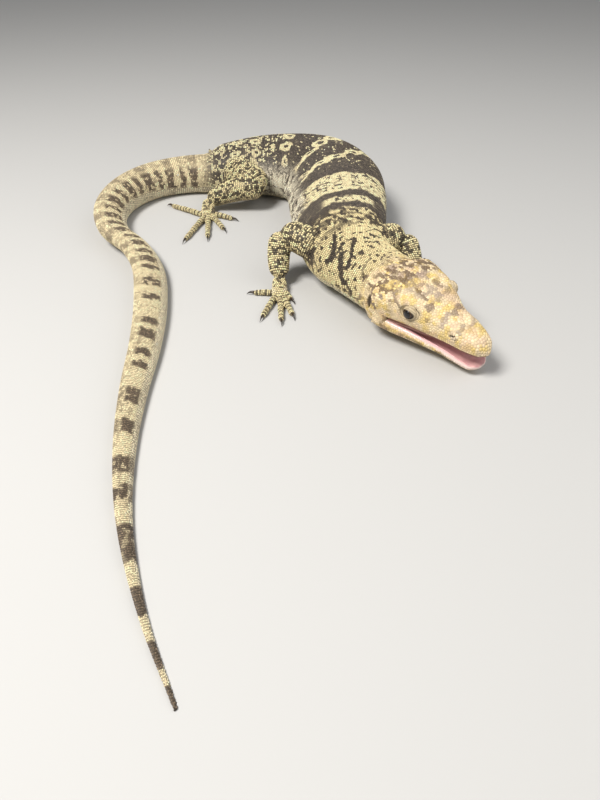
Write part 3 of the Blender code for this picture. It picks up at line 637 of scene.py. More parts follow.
def join_shells(shells):
    """Several shells as one list of points and one of faces."""
    points, faces, start = [], [], 0
    for some, quads in shells:
        points.append(some)
        faces += [[i + start for i in face] for face in quads]
        start += len(some)
    return np.concatenate(points), faces


def fuse(shells, voxel):
    """One closed surface round overlapping shells, as points and quads."""
    points, faces = join_shells(shells)
    piece = mesh_object("fuse", points, faces, 0.0)
    change = piece.modifiers.new("fuse", "REMESH")
    change.mode = "VOXEL"
    change.voxel_size = voxel * MM
    graph = bpy.context.evaluated_depsgraph_get()
    mesh = bpy.data.meshes.new_from_object(piece.evaluated_get(graph))
    points = np.zeros(len(mesh.vertices) * 3)
    mesh.vertices.foreach_get("co", points)
    faces = np.zeros(len(mesh.loops), int)
    mesh.loops.foreach_get("vertex_index", faces)
    bpy.data.objects.remove(piece, do_unlink=True)
    bpy.data.meshes.remove(mesh)
    return points.reshape(-1, 3) / MM, faces.reshape(-1, 4)


def relax(points, faces, weight, rounds, swell=0.0):
    """Moves each point towards its neighbours; swell pushes back, to keep the forms' size."""
    edges = np.concatenate([faces[:, [k, (k + 1) % 4]] for k in range(4)])
    count = np.bincount(edges[:, 0], minlength=len(points))
    for step in range(rounds):
        total = np.stack([np.bincount(edges[:, 0], points[edges[:, 1], k], len(points))
                          for k in range(3)], -1)
        share = -swell if swell and step % 2 else 1.0
        points = points + share * weight[:, None] * (total / count[:, None] - points)
    return points


class Limbs:
    """The samples of every limb tube, to find a point's place on its limb."""

    def __init__(self, parts):
        self.parts = parts
        self.kind = np.array([p["part"] for p in parts])
        self.owner = np.concatenate([np.full(len(p["where"]), k) for k, p in enumerate(parts)])
        self.centres, self.lead, self.side, self.up, self.size, self.where = (
            np.concatenate([p[key] for p in parts])
            for key in ("centres", "lead", "side", "up", "size", "where"))
        self.tree = search_tree(self.centres)

    def coordinates(self, points):
        """Part, distance along it, angle round it, radius against its own, and direction."""
        near = np.array([self.tree.find(p)[1] for p in points])
        offset = points - self.centres[near]
        t = self.where[near] + (offset * self.lead[near]).sum(1)
        x = (offset * self.side[near]).sum(1)
        y = (offset * self.up[near]).sum(1)
        turn = np.degrees(np.arctan2(y, x))
        return self.owner[near], t, turn, np.hypot(x, y) / self.size[near], self.lead[near]


def folds(s, phi):
    """Depth of the loose skin's folds: across the neck, at the throat and on the inner flank."""
    turn = np.abs(phi)
    waves = np.sin(s * 2 * math.pi / 7.5 + turn * 0.03)
    neck = 0.55 * bump(s, 20, 26) * smoothstep(35, 70, turn) * waves
    throat = 1.1 * bump(s, 41, 2.6) * smoothstep(80, 125, turn)
    waves = np.sin(s * 2 * math.pi / 8.5 + phi * 0.05)
    inner = 0.75 * bump(s, 215, 70) * smoothstep(58, 85, phi) * waves
    return neck + throat + inner


def body_skin(spine, limbs):
    """Neck, trunk, tail base and limbs, with soft joints between them."""
    def surface(s, angle):
        sunk = 1.1 * smoothstep(16, 6, s)
        deep = np.maximum(folds(s, from_back(angle)), -INSET)
        return spine.surface(s, angle, -INSET - sunk - deep)
    along = np.arange(4, spine.tail_start + 70, 1.5)
    shells = [shell(grid(surface, along, 160))] + [shell(p["rings"]) for p in limbs.parts]
    points, faces = fuse(shells, BODY_VOXEL)
    part, _, _, ratio, _ = limbs.coordinates(points)
    digit = limbs.kind[part] == "digit"
    _, _, radius, _ = spine.coordinates(points)
    joint = bump(radius, 1.10, 0.16) * smoothstep(1.9, 1.15, ratio) * ~digit
    points = relax(points, faces, joint, 26)
    points = relax(points, faces, np.where(digit, 0.45, 0.6), 6, swell=1.02)
    points[:, 2] = np.maximum(points[:, 2], FLOOR_CLEAR)
    return points, faces


def tail_skin(spine):
    """The tail, which starts a little inside the body's skin."""
    joint = spine.tail_start + 44

    def surface(s, angle):
        inset = INSET * smoothstep(spine.length, spine.length - 60, s)
        return spine.surface(s, angle, -inset - 0.6 * smoothstep(joint + 12, joint, s))
    along = np.concatenate([np.arange(joint - 4, spine.length - 1, 1.6), [spine.length]])
    points, faces = shell(grid(surface, along, 72))
    quads = np.array([f if len(f) == 4 else f + f[-1:] for f in faces])
    return points, quads


def head_skin(spine):
    """Head, lower jaw and the front of the neck."""
    def nape(s, angle):
        return spine.surface(s, angle, -INSET - 1.0 * smoothstep(8, 20, s))
    tip = 0.06 * np.linspace(0, 1, 16) ** 2
    shares = np.concatenate([tip, np.linspace(0.07, 0.90, 110)])
    jaw_shares = np.concatenate([JAW_START + tip, np.linspace(0.095, 0.86, 90)])
    back = grid(head_back, np.linspace(MOUTH_CORNER + 0.005, 0.93, 16), 120, -INSET)
    neck = grid(nape, np.arange(0, 24, 1.5), 120)
    shells = [shell(grid(skull, shares, 140, -INSET)), shell(grid(jaw, jaw_shares, 120, -INSET)),
              shell(np.concatenate([back, neck]))]
    points, faces = fuse(shells, HEAD_VOXEL)
    points = relax(points, faces, np.full(len(points), 0.6), 10, swell=1.02)
    return points, faces


def side_frame(side, share, across, up, tilt=0.0):
    """A place on the side of the head and its axes: forward, up and outward."""
    outward = unit(np.array([0.10, side, 0.20]))
    forward = np.array([math.cos(tilt), 0, math.sin(tilt)])
    forward = unit(forward - outward * (forward @ outward))
    upward = np.cross(outward, forward) * (1 if np.cross(outward, forward)[2] > 0 else -1)
    centre = head_place(share, side * across, up)[0]
    return centre, np.stack([forward, upward, outward]) @ HEAD[:3, :3].T


def eye_frame(side):
    """Middle and axes of an eyeball."""
    half = float(head_half(EYE_SHARE)[0])
    return side_frame(side, EYE_SHARE, half - EYE_SINK, EYE_HEIGHT)


def seen_from(points, frame, size):
    """Points from an opening of the head: forward, up, outward, and distance in its sizes."""
    centre, axes = frame
    u, v, w = ((points - centre) @ axes.T).T
    return u, v, w, np.hypot(u / size[0], v / size[1])


def tree_of(points, faces):
    """A tree that finds the nearest face and what a ray hits."""
    return BVHTree.FromPolygons(points.tolist(), faces.tolist())


def lids(side, tree):
    """A wrinkled ring of lid from the eyeball out under the skin."""
    centre, axes = eye_frame(side)
    turn = np.arange(LID_AROUND) * 2 * math.pi / LID_AROUND
    rings = []
    for row in range(LID_ROWS):
        f = row / (LID_ROWS - 1)
        rho = 0.97 + (LID_REACH - 0.97) * max(f - 0.06, 0)
        u = EYE_OPEN[0] * rho * np.cos(turn)
        v = EYE_OPEN[1] * rho * power(np.sin(turn), 1.15)
        ball = np.sqrt(np.maximum((EYE_RADIUS + 0.45) ** 2 - u * u - v * v, 1.5))
        if row == 0:
            ball = ball - 0.6
        flat = centre + np.outer(u, axes[0]) + np.outer(v, axes[1])
        near = [tree.find_nearest(Vector(p + axes[2] * 2.5))[:2] for p in flat]
        outer = np.array([place for place, _ in near]) - 0.3 * np.array([out for _, out in near])
        blend = smoothstep(0.12, 0.95, f)
        wrinkle = 0.20 * math.sin(f * 34) * bump(f, 0.45, 0.32)
        ring = (flat + np.outer(ball, axes[2])) * (1 - blend) + outer * blend - centre
        away = np.linalg.norm(ring, axis=1, keepdims=True)
        least = EYE_RADIUS + (0.40 if row else -0.4)
        rings.append(centre + ring / away * (np.maximum(away, least) + wrinkle))
    quads = ring_quads(LID_ROWS, LID_AROUND)
    if side > 0:
        quads = quads[:, ::-1]
    return np.array(rings).reshape(-1, 3), quads


def lip_depth(share):
    """How far the smooth lower lip reaches below its rim."""
    return -2.4 + 1.3 * smoothstep(0.08, 0.45, share)


def sink_openings(points):
    """Pushes the head's skin in behind the eyes and at the nostrils and ears."""
    for _, side in SIDES:
        frame = eye_frame(side)
        u, v, w, rho = seen_from(points, frame, EYE_OPEN)
        ball = np.sqrt(np.maximum(EYE_RADIUS ** 2 - u * u - v * v, 0)) - 1.4
        share = smoothstep(1.72, 1.45, rho) * (w > EYE_BACK)
        points = points + np.outer(np.minimum(ball - w, 0) * share, frame[1][2])
        for place, size, tilt, depth, rim, _, _ in OPENINGS:
            frame = side_frame(side, *place, tilt)
            _, _, w, rho = seen_from(points, frame, size)
            move = rim * bump(rho, 1.30, 0.22) - depth * smoothstep(1.10, 0.70, rho)
            points = points + np.outer(move * (np.abs(w) < OPENING_REACH), frame[1][2])
    return points


# Dark bands over the trunk: start and end behind the nape, slant towards the flanks, depth of
# tone, and the degrees from the midline at which the band is full.
TRUNK_BANDS = (
    (88, 99, -0.02, 0.85, 0), (109, 120, -0.03, 0.85, 0), (98, 110, -0.02, 0.80, 34),
    (157, 170, 0.00, 0.92, 0), (174, 190, -0.02, 0.80, 0), (168, 176, 0.0, 0.55, 0),
    (207, 226, -0.26, 0.92, 0), (243, 270, -0.26, 0.90, 0), (281, 306, -0.15, 0.85, 0),
    (312, 328, 0.0, 0.70, 0), (334, 346, 0.0, 0.70, 0),
)
# Short bars on the neck: from and to, as distance and degrees to the right, width and tone.
NECK_BARS = (
    (37, 46, 30, 66, 2.2, 0.95), (30, 66, 23, 86, 2.9, 0.95), (52, 33, 45, 44, 2.7, 0.95),
    (45, 44, 42, 56, 2.4, 0.95), (42, 56, 45, 68, 2.6, 0.90),
    (40, 13, 31, 36, 1.3, 0.85), (31, 36, 24, 60, 1.6, 0.90), (88, 46, 66, 72, 3.4, 0.90),
    (66, 70, 52, 84, 1.6, 0.65), (38, -46, 26, -82, 2.0, 0.85), (53, -30, 45, -68, 2.2, 0.85),
    (41, -14, 27, -58, 1.1, 0.60), (84, -46, 64, -68, 3.0, 0.80), (16, 24, 10, 60, 1.0, 0.55),
    (15, -22, 10, -62, 1.0, 0.55), (82, 60, 98, 84, 3.4, 0.90), (60, 8, 63, 26, 0.8, 0.60),
    (70, -6, 72, -28, 0.8, 0.60), (74, 20, 76, 40, 0.8, 0.60), (79, -10, 80, 12, 0.9, 0.60),
)
# Ringed pale spots: distance, degrees to the right, size along and across.
OCELLI = (
    (192, 30, 4.0, 6.5), (197, 12, 5.0, 6.5), (204, -12, 5.0, 6.5), (208, -34, 4.2, 6.5),
    (208, -56, 4.0, 6.0), (186, 52, 3.2, 6.0), (229, 34, 3.8, 6.5), (238, 12, 5.0, 6.5),
    (240, -12, 5.0, 6.5), (243, -36, 4.4, 6.5), (240, -60, 4.0, 6.0), (223, 54, 3.0, 6.0),
    (275, 31, 4.8, 5.4), (276, 2, 5.2, 5.6), (277, -28, 4.8, 5.6), (270, 56, 3.4, 5.0),
    (275, -56, 4.0, 5.0), (309, 42, 4.4, 4.2), (310, 14, 4.6, 4.6), (309, -16, 4.6, 4.4),
    (308, -44, 4.4, 4.2), (330, 40, 4.2, 3.8), (331, 8, 4.2, 4.0), (330, -26, 4.2, 4.0),
    (306, 70, 3.4, 3.4), (328, -60, 3.8, 3.6), (348, 22, 3.6, 3.4), (349, -14, 3.6, 3.4),
)
# Thin pale lines that join the ringed spots across the back, through places as above.
PALE_LINES = (
    ((168, 66), (178, 52), (188, 40), (193, 28), (197, 12), (201, 0), (205, -12), (209, -32),
     (209, -58)),
    ((206, 66), (215, 58), (225, 46), (231, 32), (236, 12), (239, -12), (243, -36), (242, -60)),
)
PALE_WIDTH = 2.0
NECK_FOLD = (50, -64, 80, -86)  # the tan fold below the ear, from and to
# Dark bars of the last part of the tail: from, to and how far up the bar reaches, 1 a full ring.
TAIL_BARS = (
    (648, 659, 0.7), (672, 679, 0.6), (702, 710, 0.7), (716, 727, 0.7), (738, 745, 0.6),
    (752, 759, 0.7), (778, 792, 0.8), (804, 817, 0.8), (835, 847, 0.9), (855, 866, 0.9),
    (880, 903, 1.0), (918, 934, 1.0), (946, 961, 1.0), (968, 985, 1.0),
)
# The same in pairs on the first part.
for pair in range(372, 640, 30):
    TAIL_BARS += ((pair, pair + 10, 0.8), (pair + 16, pair + 23, 0.7))
# Brown marks of the head: share, degrees to the right, share, degrees, width, tone, greyness.
HEAD_MARKS = (
    (0.215, 68, 0.26, 56, 2.0, 0.50, 0.9), (0.215, -68, 0.26, -56, 2.0, 0.50, 0.9),
    (0.20, 40, 0.225, 14, 1.5, 0.55, 0.7), (0.20, -12, 0.225, -42, 1.5, 0.50, 0.5),
    (0.335, 50, 0.365, 8, 2.0, 0.62, 0.9), (0.345, -4, 0.375, -38, 1.9, 0.70, 0.3),
    (0.44, 59, 0.445, 57, 1.3, 0.60, 0.2), (0.475, 33, 0.485, 22, 1.9, 0.75, 0.2),
    (0.545, 21, 0.635, 19, 1.1, 0.80, 0.1), (0.49, 3, 0.52, -8, 1.9, 0.60, 0.9),
    (0.56, 2, 0.60, -6, 1.8, 0.60, 0.9), (0.50, -24, 0.53, -30, 1.6, 0.55, 0.5),
    (0.63, 66, 0.73, 46, 1.1, 0.75, 0.2), (0.56, -22, 0.64, -20, 1.1, 0.70, 0.1),
    (0.64, -64, 0.73, -47, 1.1, 0.70, 0.2), (0.84, 90, 0.93, 58, 1.6, 0.85, 0.3),
    (0.84, -90, 0.93, -58, 1.6, 0.85, 0.3), (0.66, 14, 0.74, 10, 1.5, 0.60, 0.6),
    (0.68, -12, 0.75, -16, 1.5, 0.60, 0.5),
)
BRIGHTEST = 0.86               # no scale reflects more than this
DEGREE = 0.62                  # millimetres of skin to a degree on the trunk

PALE = srgb(242, 225, 178)
DARK = srgb(84, 74, 63)
NECK_PALE = srgb(237, 217, 164)
NECK_DARK = srgb(72, 60, 45)
FOLD_TAN = srgb(206, 172, 140)
FLANK = srgb(240, 229, 202)
FLANK_GREY = srgb(80, 70, 59)
BELLY = srgb(238, 224, 190)
TAIL_PALE = srgb(247, 228, 184)
TAIL_DARK = srgb(84, 66, 52)
LIMB_PALE = srgb(244, 225, 172)
LIMB_DARK = srgb(56, 45, 32)
HEAD_CREAM = srgb(230, 208, 168)
HEAD_YELLOW = srgb(222, 194, 122)
HEAD_ROSE = srgb(216, 184, 156)
HEAD_BROWN = srgb(92, 69, 50)
HEAD_GREY = srgb(140, 124, 120)
LIP = srgb(234, 212, 180)
LIP_SKIN = srgb(234, 210, 200)
# Painted shade: the dark inside the nostrils and ears and in the crease where the lids meet the
# eyeball.
PAINTED_PIT_SHADE = srgb(40, 27, 21)
LID_TAN = srgb(226, 208, 172)
LIMB_UNDER = srgb(176, 158, 120)
CLAW_ROOT = srgb(58, 44, 30)
CLAW_TIP = srgb(30, 24, 18)
MOUTH_PINK = srgb(222, 178, 172)
MOUTH_ROSE = srgb(198, 146, 148)
# Painted shade deep in the back of the mouth.
MOUTH_PAINTED_SHADE = srgb(120, 70, 66)
# The eyeball from its pole outwards: share of a half turn and display colour.
EYE_RAMP = (
    (0.0, (2, 2, 2)), (0.17, (4, 3, 3)), (0.182, (92, 68, 40)), (0.20, (52, 36, 24)),
    (0.33, (60, 44, 32)), (0.36, (24, 17, 13)), (1.0, (20, 14, 12)),
)
FLOOR_CORNERS = ((-4000.0, -3000.0, 0.0), (4000.0, -3000.0, 0.0), (4000.0, 5000.0, 0.0),
                 (-4000.0, 5000.0, 0.0))
FLOOR_COLOUR = (0.52, 0.515, 0.50, 1)
SKY_COLOUR = (0.97, 0.98, 1.0, 1)
SKY_STRENGTH = 0.30
LIGHT_AIM = (0, 0.05, 0)
CAMERA_PLACE = (0.0, -282.4, 254.3)
CAMERA_DIP = 42                # degrees below the level


def mix(a, b, share):
    """Colours between a and b, either of which may be one colour or a row for each point."""
    return a + (b - a) * np.clip(share, 0, 1)[:, None]


def box(x, low, high, soft):
    """1 between low and high, fading over soft at each end."""
    return smoothstep(low - soft, low + soft, x) * (1 - smoothstep(high - soft, high + soft, x))


def bar(x, y, line, width, scale=(1, DEGREE)):
    """1 within width of the line from one place to another, fading outside."""
    x1, x2 = line[0] * scale[0], line[2] * scale[0]
    y1, y2 = line[1] * scale[1], line[3] * scale[1]
    dx, dy = x2 - x1, y2 - y1
    t = np.clip(((x - x1) * dx + (y - y1) * dy) / (dx * dx + dy * dy), 0, 1)
    return smoothstep(1.35, 0.75, np.hypot(x - x1 - t * dx, y - y1 - t * dy) / width)


def trunk_tone(points, s, phi, along, across):
    """Darkness of the trunk: flecks, bands, neck bars, pale lines and ringed spots."""
    turn = np.abs(phi)
    lag = 0.12 * np.clip(turn - 22, 0, 60)
    fore = box(s, 56, 90, 8)
    fleck = smoothstep(0.30 - 0.32 * fore, 0.46 - 0.26 * fore, noise(points, 2.6, 4))
    tone = 0.06 + 0.75 * fleck * smoothstep(150, 85, turn)
    tone = np.maximum(tone, 0.60 * fore * flecks(points, 3.6, 32, -0.3, 0.4))
    for start, end, slant, depth, full in TRUNK_BANDS:
        band = depth * box(along - slant * np.clip(phi, -70, 70) + lag, start, end, 1.6)
        if full:
            band = band * smoothstep(full - 8, full + 4, turn)
        tone = np.maximum(tone, band)
    ground = smoothstep(155, 162, along + lag) * smoothstep(400, 352, s)
    tone = np.maximum(tone, ground * (0.74 + 0.22 * flecks(points, 4, 5, -0.4, 0.4)))
    for *line, width, depth in NECK_BARS:
        tone = np.maximum(tone, depth * bar(along, across, line, width))
    flank = 0.35 * smoothstep(190, 215, s) * smoothstep(50, 75, turn)
    rear = 0.58 * np.maximum(smoothstep(272, 300, s), flank)
    grain = noise(points, 2.2, 18) + 0.6 * noise(points, 1.3, 33)
    dots = smoothstep(0.68 - rear, 0.80 - rear, grain)
    tone = tone * (1 - 0.92 * dots * smoothstep(160, 190, s) * smoothstep(420, 350, s))
    for line in PALE_LINES:
        for start, end in itertools.pairwise(line):
            tone = tone * (1 - 0.8 * bar(along, across, start + end, PALE_WIDTH))
    for place, side, size_s, size_p in OCELLI:
        away = np.hypot((along - place) / size_s, (across - side * DEGREE) / size_p) / 1.12
        tone = np.maximum(tone, 0.97 * bump(away, 1.28, 0.13) * (tone > 0.3))
        inside = smoothstep(1.15, 0.98, away)
        tone = tone * (1 - inside) + inside * (0.02 + 0.92 * smoothstep(0.42, 0.30, away))
    dashes = flecks(points, 2.0, 6, 0.26, 0.44) * box(s, 124, 152, 3)
    tone = np.maximum(tone, 0.75 * dashes * (0.55 + 0.45 * smoothstep(136, 150, s)))
    return smoothstep(0.03, 0.88, tone)


def flank_colour(points, turn, tone):
    """The pale flank with its grey net and streaks."""
    net = bump(noise(points, 5.0, 7) + 0.4 * noise(points, 2.2, 8), 0.0, 0.20)
    streak = flecks(points * (1, 1, 0.6), 6, 9, 0.05, 0.35)
    dark = np.clip(0.02 + 0.85 * net + 0.60 * streak, 0, 1)
    dark = np.maximum(dark, 0.80 * tone * smoothstep(85, 58, turn))
    pale = mix(FLANK, BELLY, smoothstep(110, 140, turn))
    return mix(pale, FLANK_GREY, dark * smoothstep(150, 112, turn))


def trunk_colour(points, s, phi):
    """Banded back, reticulated flanks and pale belly."""
    wobble = 2.4 * noise(points, 7, 1) + 1.6 * noise(points, 2.8, 2) + 0.8 * noise(points, 1.2, 37)
    along = s + wobble
    across = phi * DEGREE + 1.5 * noise(points, 6, 3)
    turn = np.abs(phi)
    tone = trunk_tone(points, s, phi, along, across)
    neck = smoothstep(95, 80, s)
    colour = mix(mix(PALE, NECK_PALE, neck), mix(DARK, NECK_DARK, neck), tone)
    belly = mix(BELLY, DARK, 0.7 * tone * smoothstep(165, 118, turn))
    colour = mix(colour, belly, smoothstep(104, 122, turn))
    lower = smoothstep(50, 66, turn + 7 * noise(points, 8, 10) - 8 * smoothstep(0, 60, -phi))
    lower = lower * smoothstep(108, 122, s) * smoothstep(330, 296, s)
    colour = mix(colour, flank_colour(points, turn, tone), lower)
    return mix(colour, FOLD_TAN, 0.8 * bar(along, across, NECK_FOLD, PALE_WIDTH))


def tail_colour(points, s, phi):
    """Paired dark bars on cream, joining into rings towards the tip."""
    along = s + 1.4 * noise(points, 6, 11) + 2.0 * noise(points, 2.2, 12)
    turn = np.abs(phi)
    side = smoothstep(30, 58, turn) * smoothstep(122, 108, turn)
    fleck = flecks(points, 2.4, 13, 0.25, 0.50)
    tone = 0.08 + 0.40 * fleck * smoothstep(125, 100, turn) * smoothstep(900, 860, s)
    for start, end, ring in TAIL_BARS:
        over = smoothstep(0.72, 1.0, ring) + 0.65 * smoothstep(60, 20, turn) * ring
        cover = np.clip(np.maximum(side, over), 0, 1)
        tone = np.maximum(tone, 0.92 * cover * box(along, start, end, 0.8))
    tone = tone * (1 - 0.65 * flecks(points, 2.4, 34, 0.28, 0.45) * smoothstep(930, 860, s))
    tone = np.maximum(tone, 0.55 * smoothstep(24, 8, turn) * flecks(points, 5, 14, -0.1, 0.3))
    pale = mix(TAIL_PALE, BELLY, smoothstep(105, 125, turn))
    return mix(pale, TAIL_DARK, tone)


def limb_colour(points, normals_up, part, t, limbs):
    """Pale dots in rows on dark skin; the digits are ringed pale and dark."""
    kind = limbs.kind[part]
    fleck = noise(points, 2.0, 15) + 0.6 * noise(points, 1.2, 16)
    tone = 0.93 - 0.90 * smoothstep(-0.22, 0.10, fleck)
    rings = 0.5 + 0.5 * np.sin(t * 2 * math.pi / 4.0 + 2.0 * noise(points, 9, 17))
    tone = np.where(kind == "digit", 0.05 + 0.80 * smoothstep(0.50, 0.85, rings), tone)
    tone = np.where(kind == "palm", 0.90 - 0.85 * smoothstep(-0.35, 0.0, fleck), tone)
    colour = mix(LIMB_PALE, LIMB_DARK, tone)
    return mix(colour, LIMB_UNDER, 0.7 * smoothstep(-0.2, -0.8, normals_up))


def head_tone(points, share, phi, half):
    """How dark each point of the head is, and how far its dark is grey instead of brown."""
    x = share * HEAD_LENGTH + 0.8 * noise(points, 4, 21)
    y = phi * half * math.pi / 180 * 0.85
    ragged = 1.1 * noise(points, 2.0, 24)
    tone = np.zeros(len(points)) + 0.06
    grey = np.zeros(len(points))
    for s1, p1, s2, p2, width, depth, lilac in HEAD_MARKS:
        degree = float(head_half((s1 + s2) / 2)[0]) * math.pi / 180 * 0.85
        line = (s1, p1, s2, p2)
        mark = depth * bar(x + ragged, y + ragged, line, width, (HEAD_LENGTH, degree))
        grey = np.where(mark > tone, lilac, grey)
        tone = np.maximum(tone, mark)
    lengthwise = (points - HEAD[:3, 3]) @ HEAD[:3, :3] * (0.45, 1, 1)
    streaks = noise(lengthwise, 2.0, 25) + 0.6 * noise(lengthwise, 1.1, 26)
    turn = np.abs(phi)
    crown = smoothstep(0.66, 0.76, share) * smoothstep(78, 56, turn)
    tone = np.maximum(tone, crown * 0.85 * smoothstep(-0.16, 0.10, streaks))
    patch = crown * smoothstep(0.90, 0.78, share) * noise(points, 6, 35)
    grey = np.where(patch > 0.15, 0.6, grey)
    blotch = noise(points, 4.0, 22) + 0.7 * noise(points, 2.0, 23)
    mottle = smoothstep(0.45, 0.58, share) * smoothstep(40, 20, turn) * smoothstep(0.05, 0.4, blotch)
    grey = np.where(0.6 * mottle > tone, 0.7, grey)
    tone = np.maximum(tone, 0.6 * mottle)
    cheek = smoothstep(0.60, 0.75, share) * smoothstep(60, 80, turn) * smoothstep(0.1, 0.5, blotch)
    return np.maximum(tone, 0.42 * cheek), grey


def lip_colour(points, share, up, colour):
    """Adds the pale lips and the spots of the lower jaw to the head's colour."""
    low_share, _, low_up = head_local(points, GAPE)
    colour = mix(colour, LIP, 0.40 * bump(up, 2.2, 2.0) * (share < MOUTH_CORNER))
    spots = flecks(points, 4, 28, 0.05, 0.30) * smoothstep(-0.5, -3.0, low_up)
    colour = mix(colour, HEAD_BROWN, 0.55 * spots * (low_share < 0.9))
    rim = box(low_up, lip_depth(low_share), 1.5, 0.4) * (up < 4)
    return mix(colour, LIP_SKIN, rim * smoothstep(MOUTH_CORNER, MOUTH_CORNER - 0.03, low_share))


def head_colour(points):
    """Yellow head with brown and grey-lilac marks, pale lips, and painted shade in the pits and at the
    lids' inner rim.
    """
    share, across, up = head_local(points)
    half, top = head_half(share), head_top(share)
    phi = np.degrees(np.arctan2(-across / half, (up - 0.36 * top) / (0.64 * top)))
    tone, grey = head_tone(points, share, phi, half)
    sallow = noise(points, 4.5, 27) + 0.5 * noise(points, 2, 30)
    base = mix(HEAD_CREAM, HEAD_YELLOW, smoothstep(-0.25, 0.45, sallow))
    base = mix(base, HEAD_ROSE, 0.5 * flecks(points, 6, 29, 0.1, 0.5))
    colour = mix(base, mix(HEAD_BROWN, HEAD_GREY, grey), tone)
    colour = lip_colour(points, share, up, colour)
    for _, side in SIDES:
        for place, size, tilt, _, _, painted_shading, _ in OPENINGS:
            _, _, w, rho = seen_from(points, side_frame(side, *place, tilt), size)
            inside = smoothstep(1.05, 0.75, rho) * (np.abs(w) < OPENING_REACH)
            # painted shade inside each nostril and ear
            colour = mix(colour, PAINTED_PIT_SHADE, painted_shading * inside)
        _, _, w, rho = seen_from(points, eye_frame(side), EYE_OPEN)
        near = w > -2
        wrinkles = 0.5 + 0.5 * np.sin(rho * 21 + 1.5 * noise(points, 3, 36))
        colour = mix(colour, LID_TAN, 0.75 * smoothstep(2.2, 1.5, rho) * near)
        colour = mix(colour, HEAD_BROWN, 0.45 * wrinkles * smoothstep(2.2, 1.8, rho) * near)
        # painted shade in the crease where the lids meet the eyeball
        colour = mix(colour, PAINTED_PIT_SHADE, 0.9 * smoothstep(1.14, 1.02, rho) * near)
    return colour


def spread(ring, width, offset):
    """Places round a ring, spaced by width and counted outwards from the back on each side."""
    around = len(ring)
    closed = np.concatenate([ring, ring[:1]])
    arc = np.concatenate([[0], np.cumsum(np.linalg.norm(np.diff(closed, axis=0), axis=1))])
    angles = np.linspace(0, 2 * math.pi, around + 1)
    back = np.interp(math.pi / 2, angles, arc)
    half = arc[-1] / 2
    count = np.arange(int(half / width) + 1) + offset
    steps = np.concatenate([count * width, -(count + (1 - 2 * offset)) * width])
    steps = steps[np.abs(steps) <= half]
    return np.interp((back + steps) % arc[-1], arc, angles)


def row_size(spine, s):
    """Distance between rows of scales, and between the scales of a row, at distance s."""
    start = spine.tail_start
    base = smoothstep(start, start + 60, s)
    tip = smoothstep(start, spine.length - 30, s)
    return float(1.62 + 0.45 * base - 0.70 * tip), float(1.48 + 0.04 * base - 0.75 * tip)


def body_rows(spine, stretch, low, high):
    """Scale places in rows across the body, between two distances round from the back."""
    fine = np.linspace(0, 2 * math.pi, 360, endpoint=False)
    places, s, row = [], 2.0, 0
    while s < spine.length - 0.6:
        gap, wide = (size * stretch for size in row_size(spine, s))
        ring = spine.surface(np.full(360, s), fine)
        angles = spread(ring, wide, 0.5 * (row % 2))
        ahead, behind = (spine.surface(np.full(len(angles), s + step), angles) for step in (0.5, -0.5))
        parted = np.linalg.norm(ahead - behind, axis=1)
        turn = np.abs(from_back(angles))
        inside = (turn >= low) & (turn < high)
        for extra, keep in enumerate((inside, inside & (parted > 1.42))):
            places.append(np.column_stack([np.full(keep.sum(), s + extra * gap / 2),
                                           angles[keep] + extra * 0.5 * wide / 30,
                                           np.full(keep.sum(), wide)]))
        s += gap
        row += 1
    return np.concatenate(places)


def out_from(function, a, b, *more):
    """Points of a surface and the directions out of it."""
    points = function(a, b, *more)
    da = function(a + 0.02, b, *more) - function(a - 0.02, b, *more)
    db = function(a, b + 0.01, *more) - function(a, b - 0.01, *more)
    return points, unit(np.cross(db, da))


def body_places(spine):
    """Candidates over the trunk and tail: point, direction out and spacing."""
    rows = np.concatenate([body_rows(spine, 1.0, 0, 116), body_rows(spine, 1.35, 116, 181)])
    s, angle, wide = rows.T
    points, out = out_from(spine.surface, s, angle, -INSET)
    centre, _ = spine.place(s)
    lift = spine.tail_sizes(s)[3]
    inner = np.column_stack([centre, np.where(s > spine.tail_start, lift, 20.0)])
    out = out * np.sign(((points - inner) * out).sum(1) + 1e-9)[:, None]
    return points, out, wide


def limb_places(limbs):
    """Candidates in rows round each limb and digit."""
    points, out, wide = [], [], []
    for part in limbs.parts:
        pitch, width = {"digit": (1.5, 1.30), "palm": (1.6, 1.45)}.get(part["part"], (1.8, 1.6))
        around = part["rings"].shape[1]
        for row, t in enumerate(np.arange(0.8, part["length"], pitch)):
            ring = np.stack([[np.interp(t, part["where"], part["rings"][:, k, axis])
                              for axis in range(3)] for k in range(around)])
            turn = spread(ring, width, 0.5 * (row % 2)) / (2 * math.pi) * around
            low = np.floor(turn).astype(int) % around
            f = (turn - np.floor(turn))[:, None]
            p = ring[low] * (1 - f) + ring[(low + 1) % around] * f
            points.append(p)
            out.append(unit(p - ring.mean(0)))
            wide.append(np.full(len(p), width))
    return np.concatenate(points), np.concatenate(out), np.concatenate(wide)


def lip_places():
    """Rows of labial scales along both lips."""
    points, out, wide = [], [], []
    for _, side in SIDES:
        for up, gape, spacing in LIP_ROWS:
            share = np.arange(0.03, 0.78, spacing / HEAD_LENGTH)
            half = head_half(share) * (1.0 if gape == 0 else 0.99)
            p = head_place(share, side * half, up, gape)
            middle = head_place(share + 0.02, 0, up + (2 if gape == 0 else -3), gape)
            points.append(p)
            out.append(unit(p - middle))
            wide.append(np.full(len(p), spacing))
    return np.concatenate(points), np.concatenate(out), np.concatenate(wide)


def snap(tree, points, out, reach, slack):
    """The outermost skin point along each direction, if it lies near the candidate."""
    found, normals, keep = [], [], []
    for k, (p, n) in enumerate(zip(points, out)):
        hit, normal, _, _ = tree.ray_cast(Vector(p + n * reach), Vector(-n), reach + slack)
        if hit is not None and abs((np.array(hit) - p) @ n) < slack:
            found.append(hit)
            normals.append(normal)
            keep.append(k)
    return np.array(found), np.array(normals), np.array(keep, int)


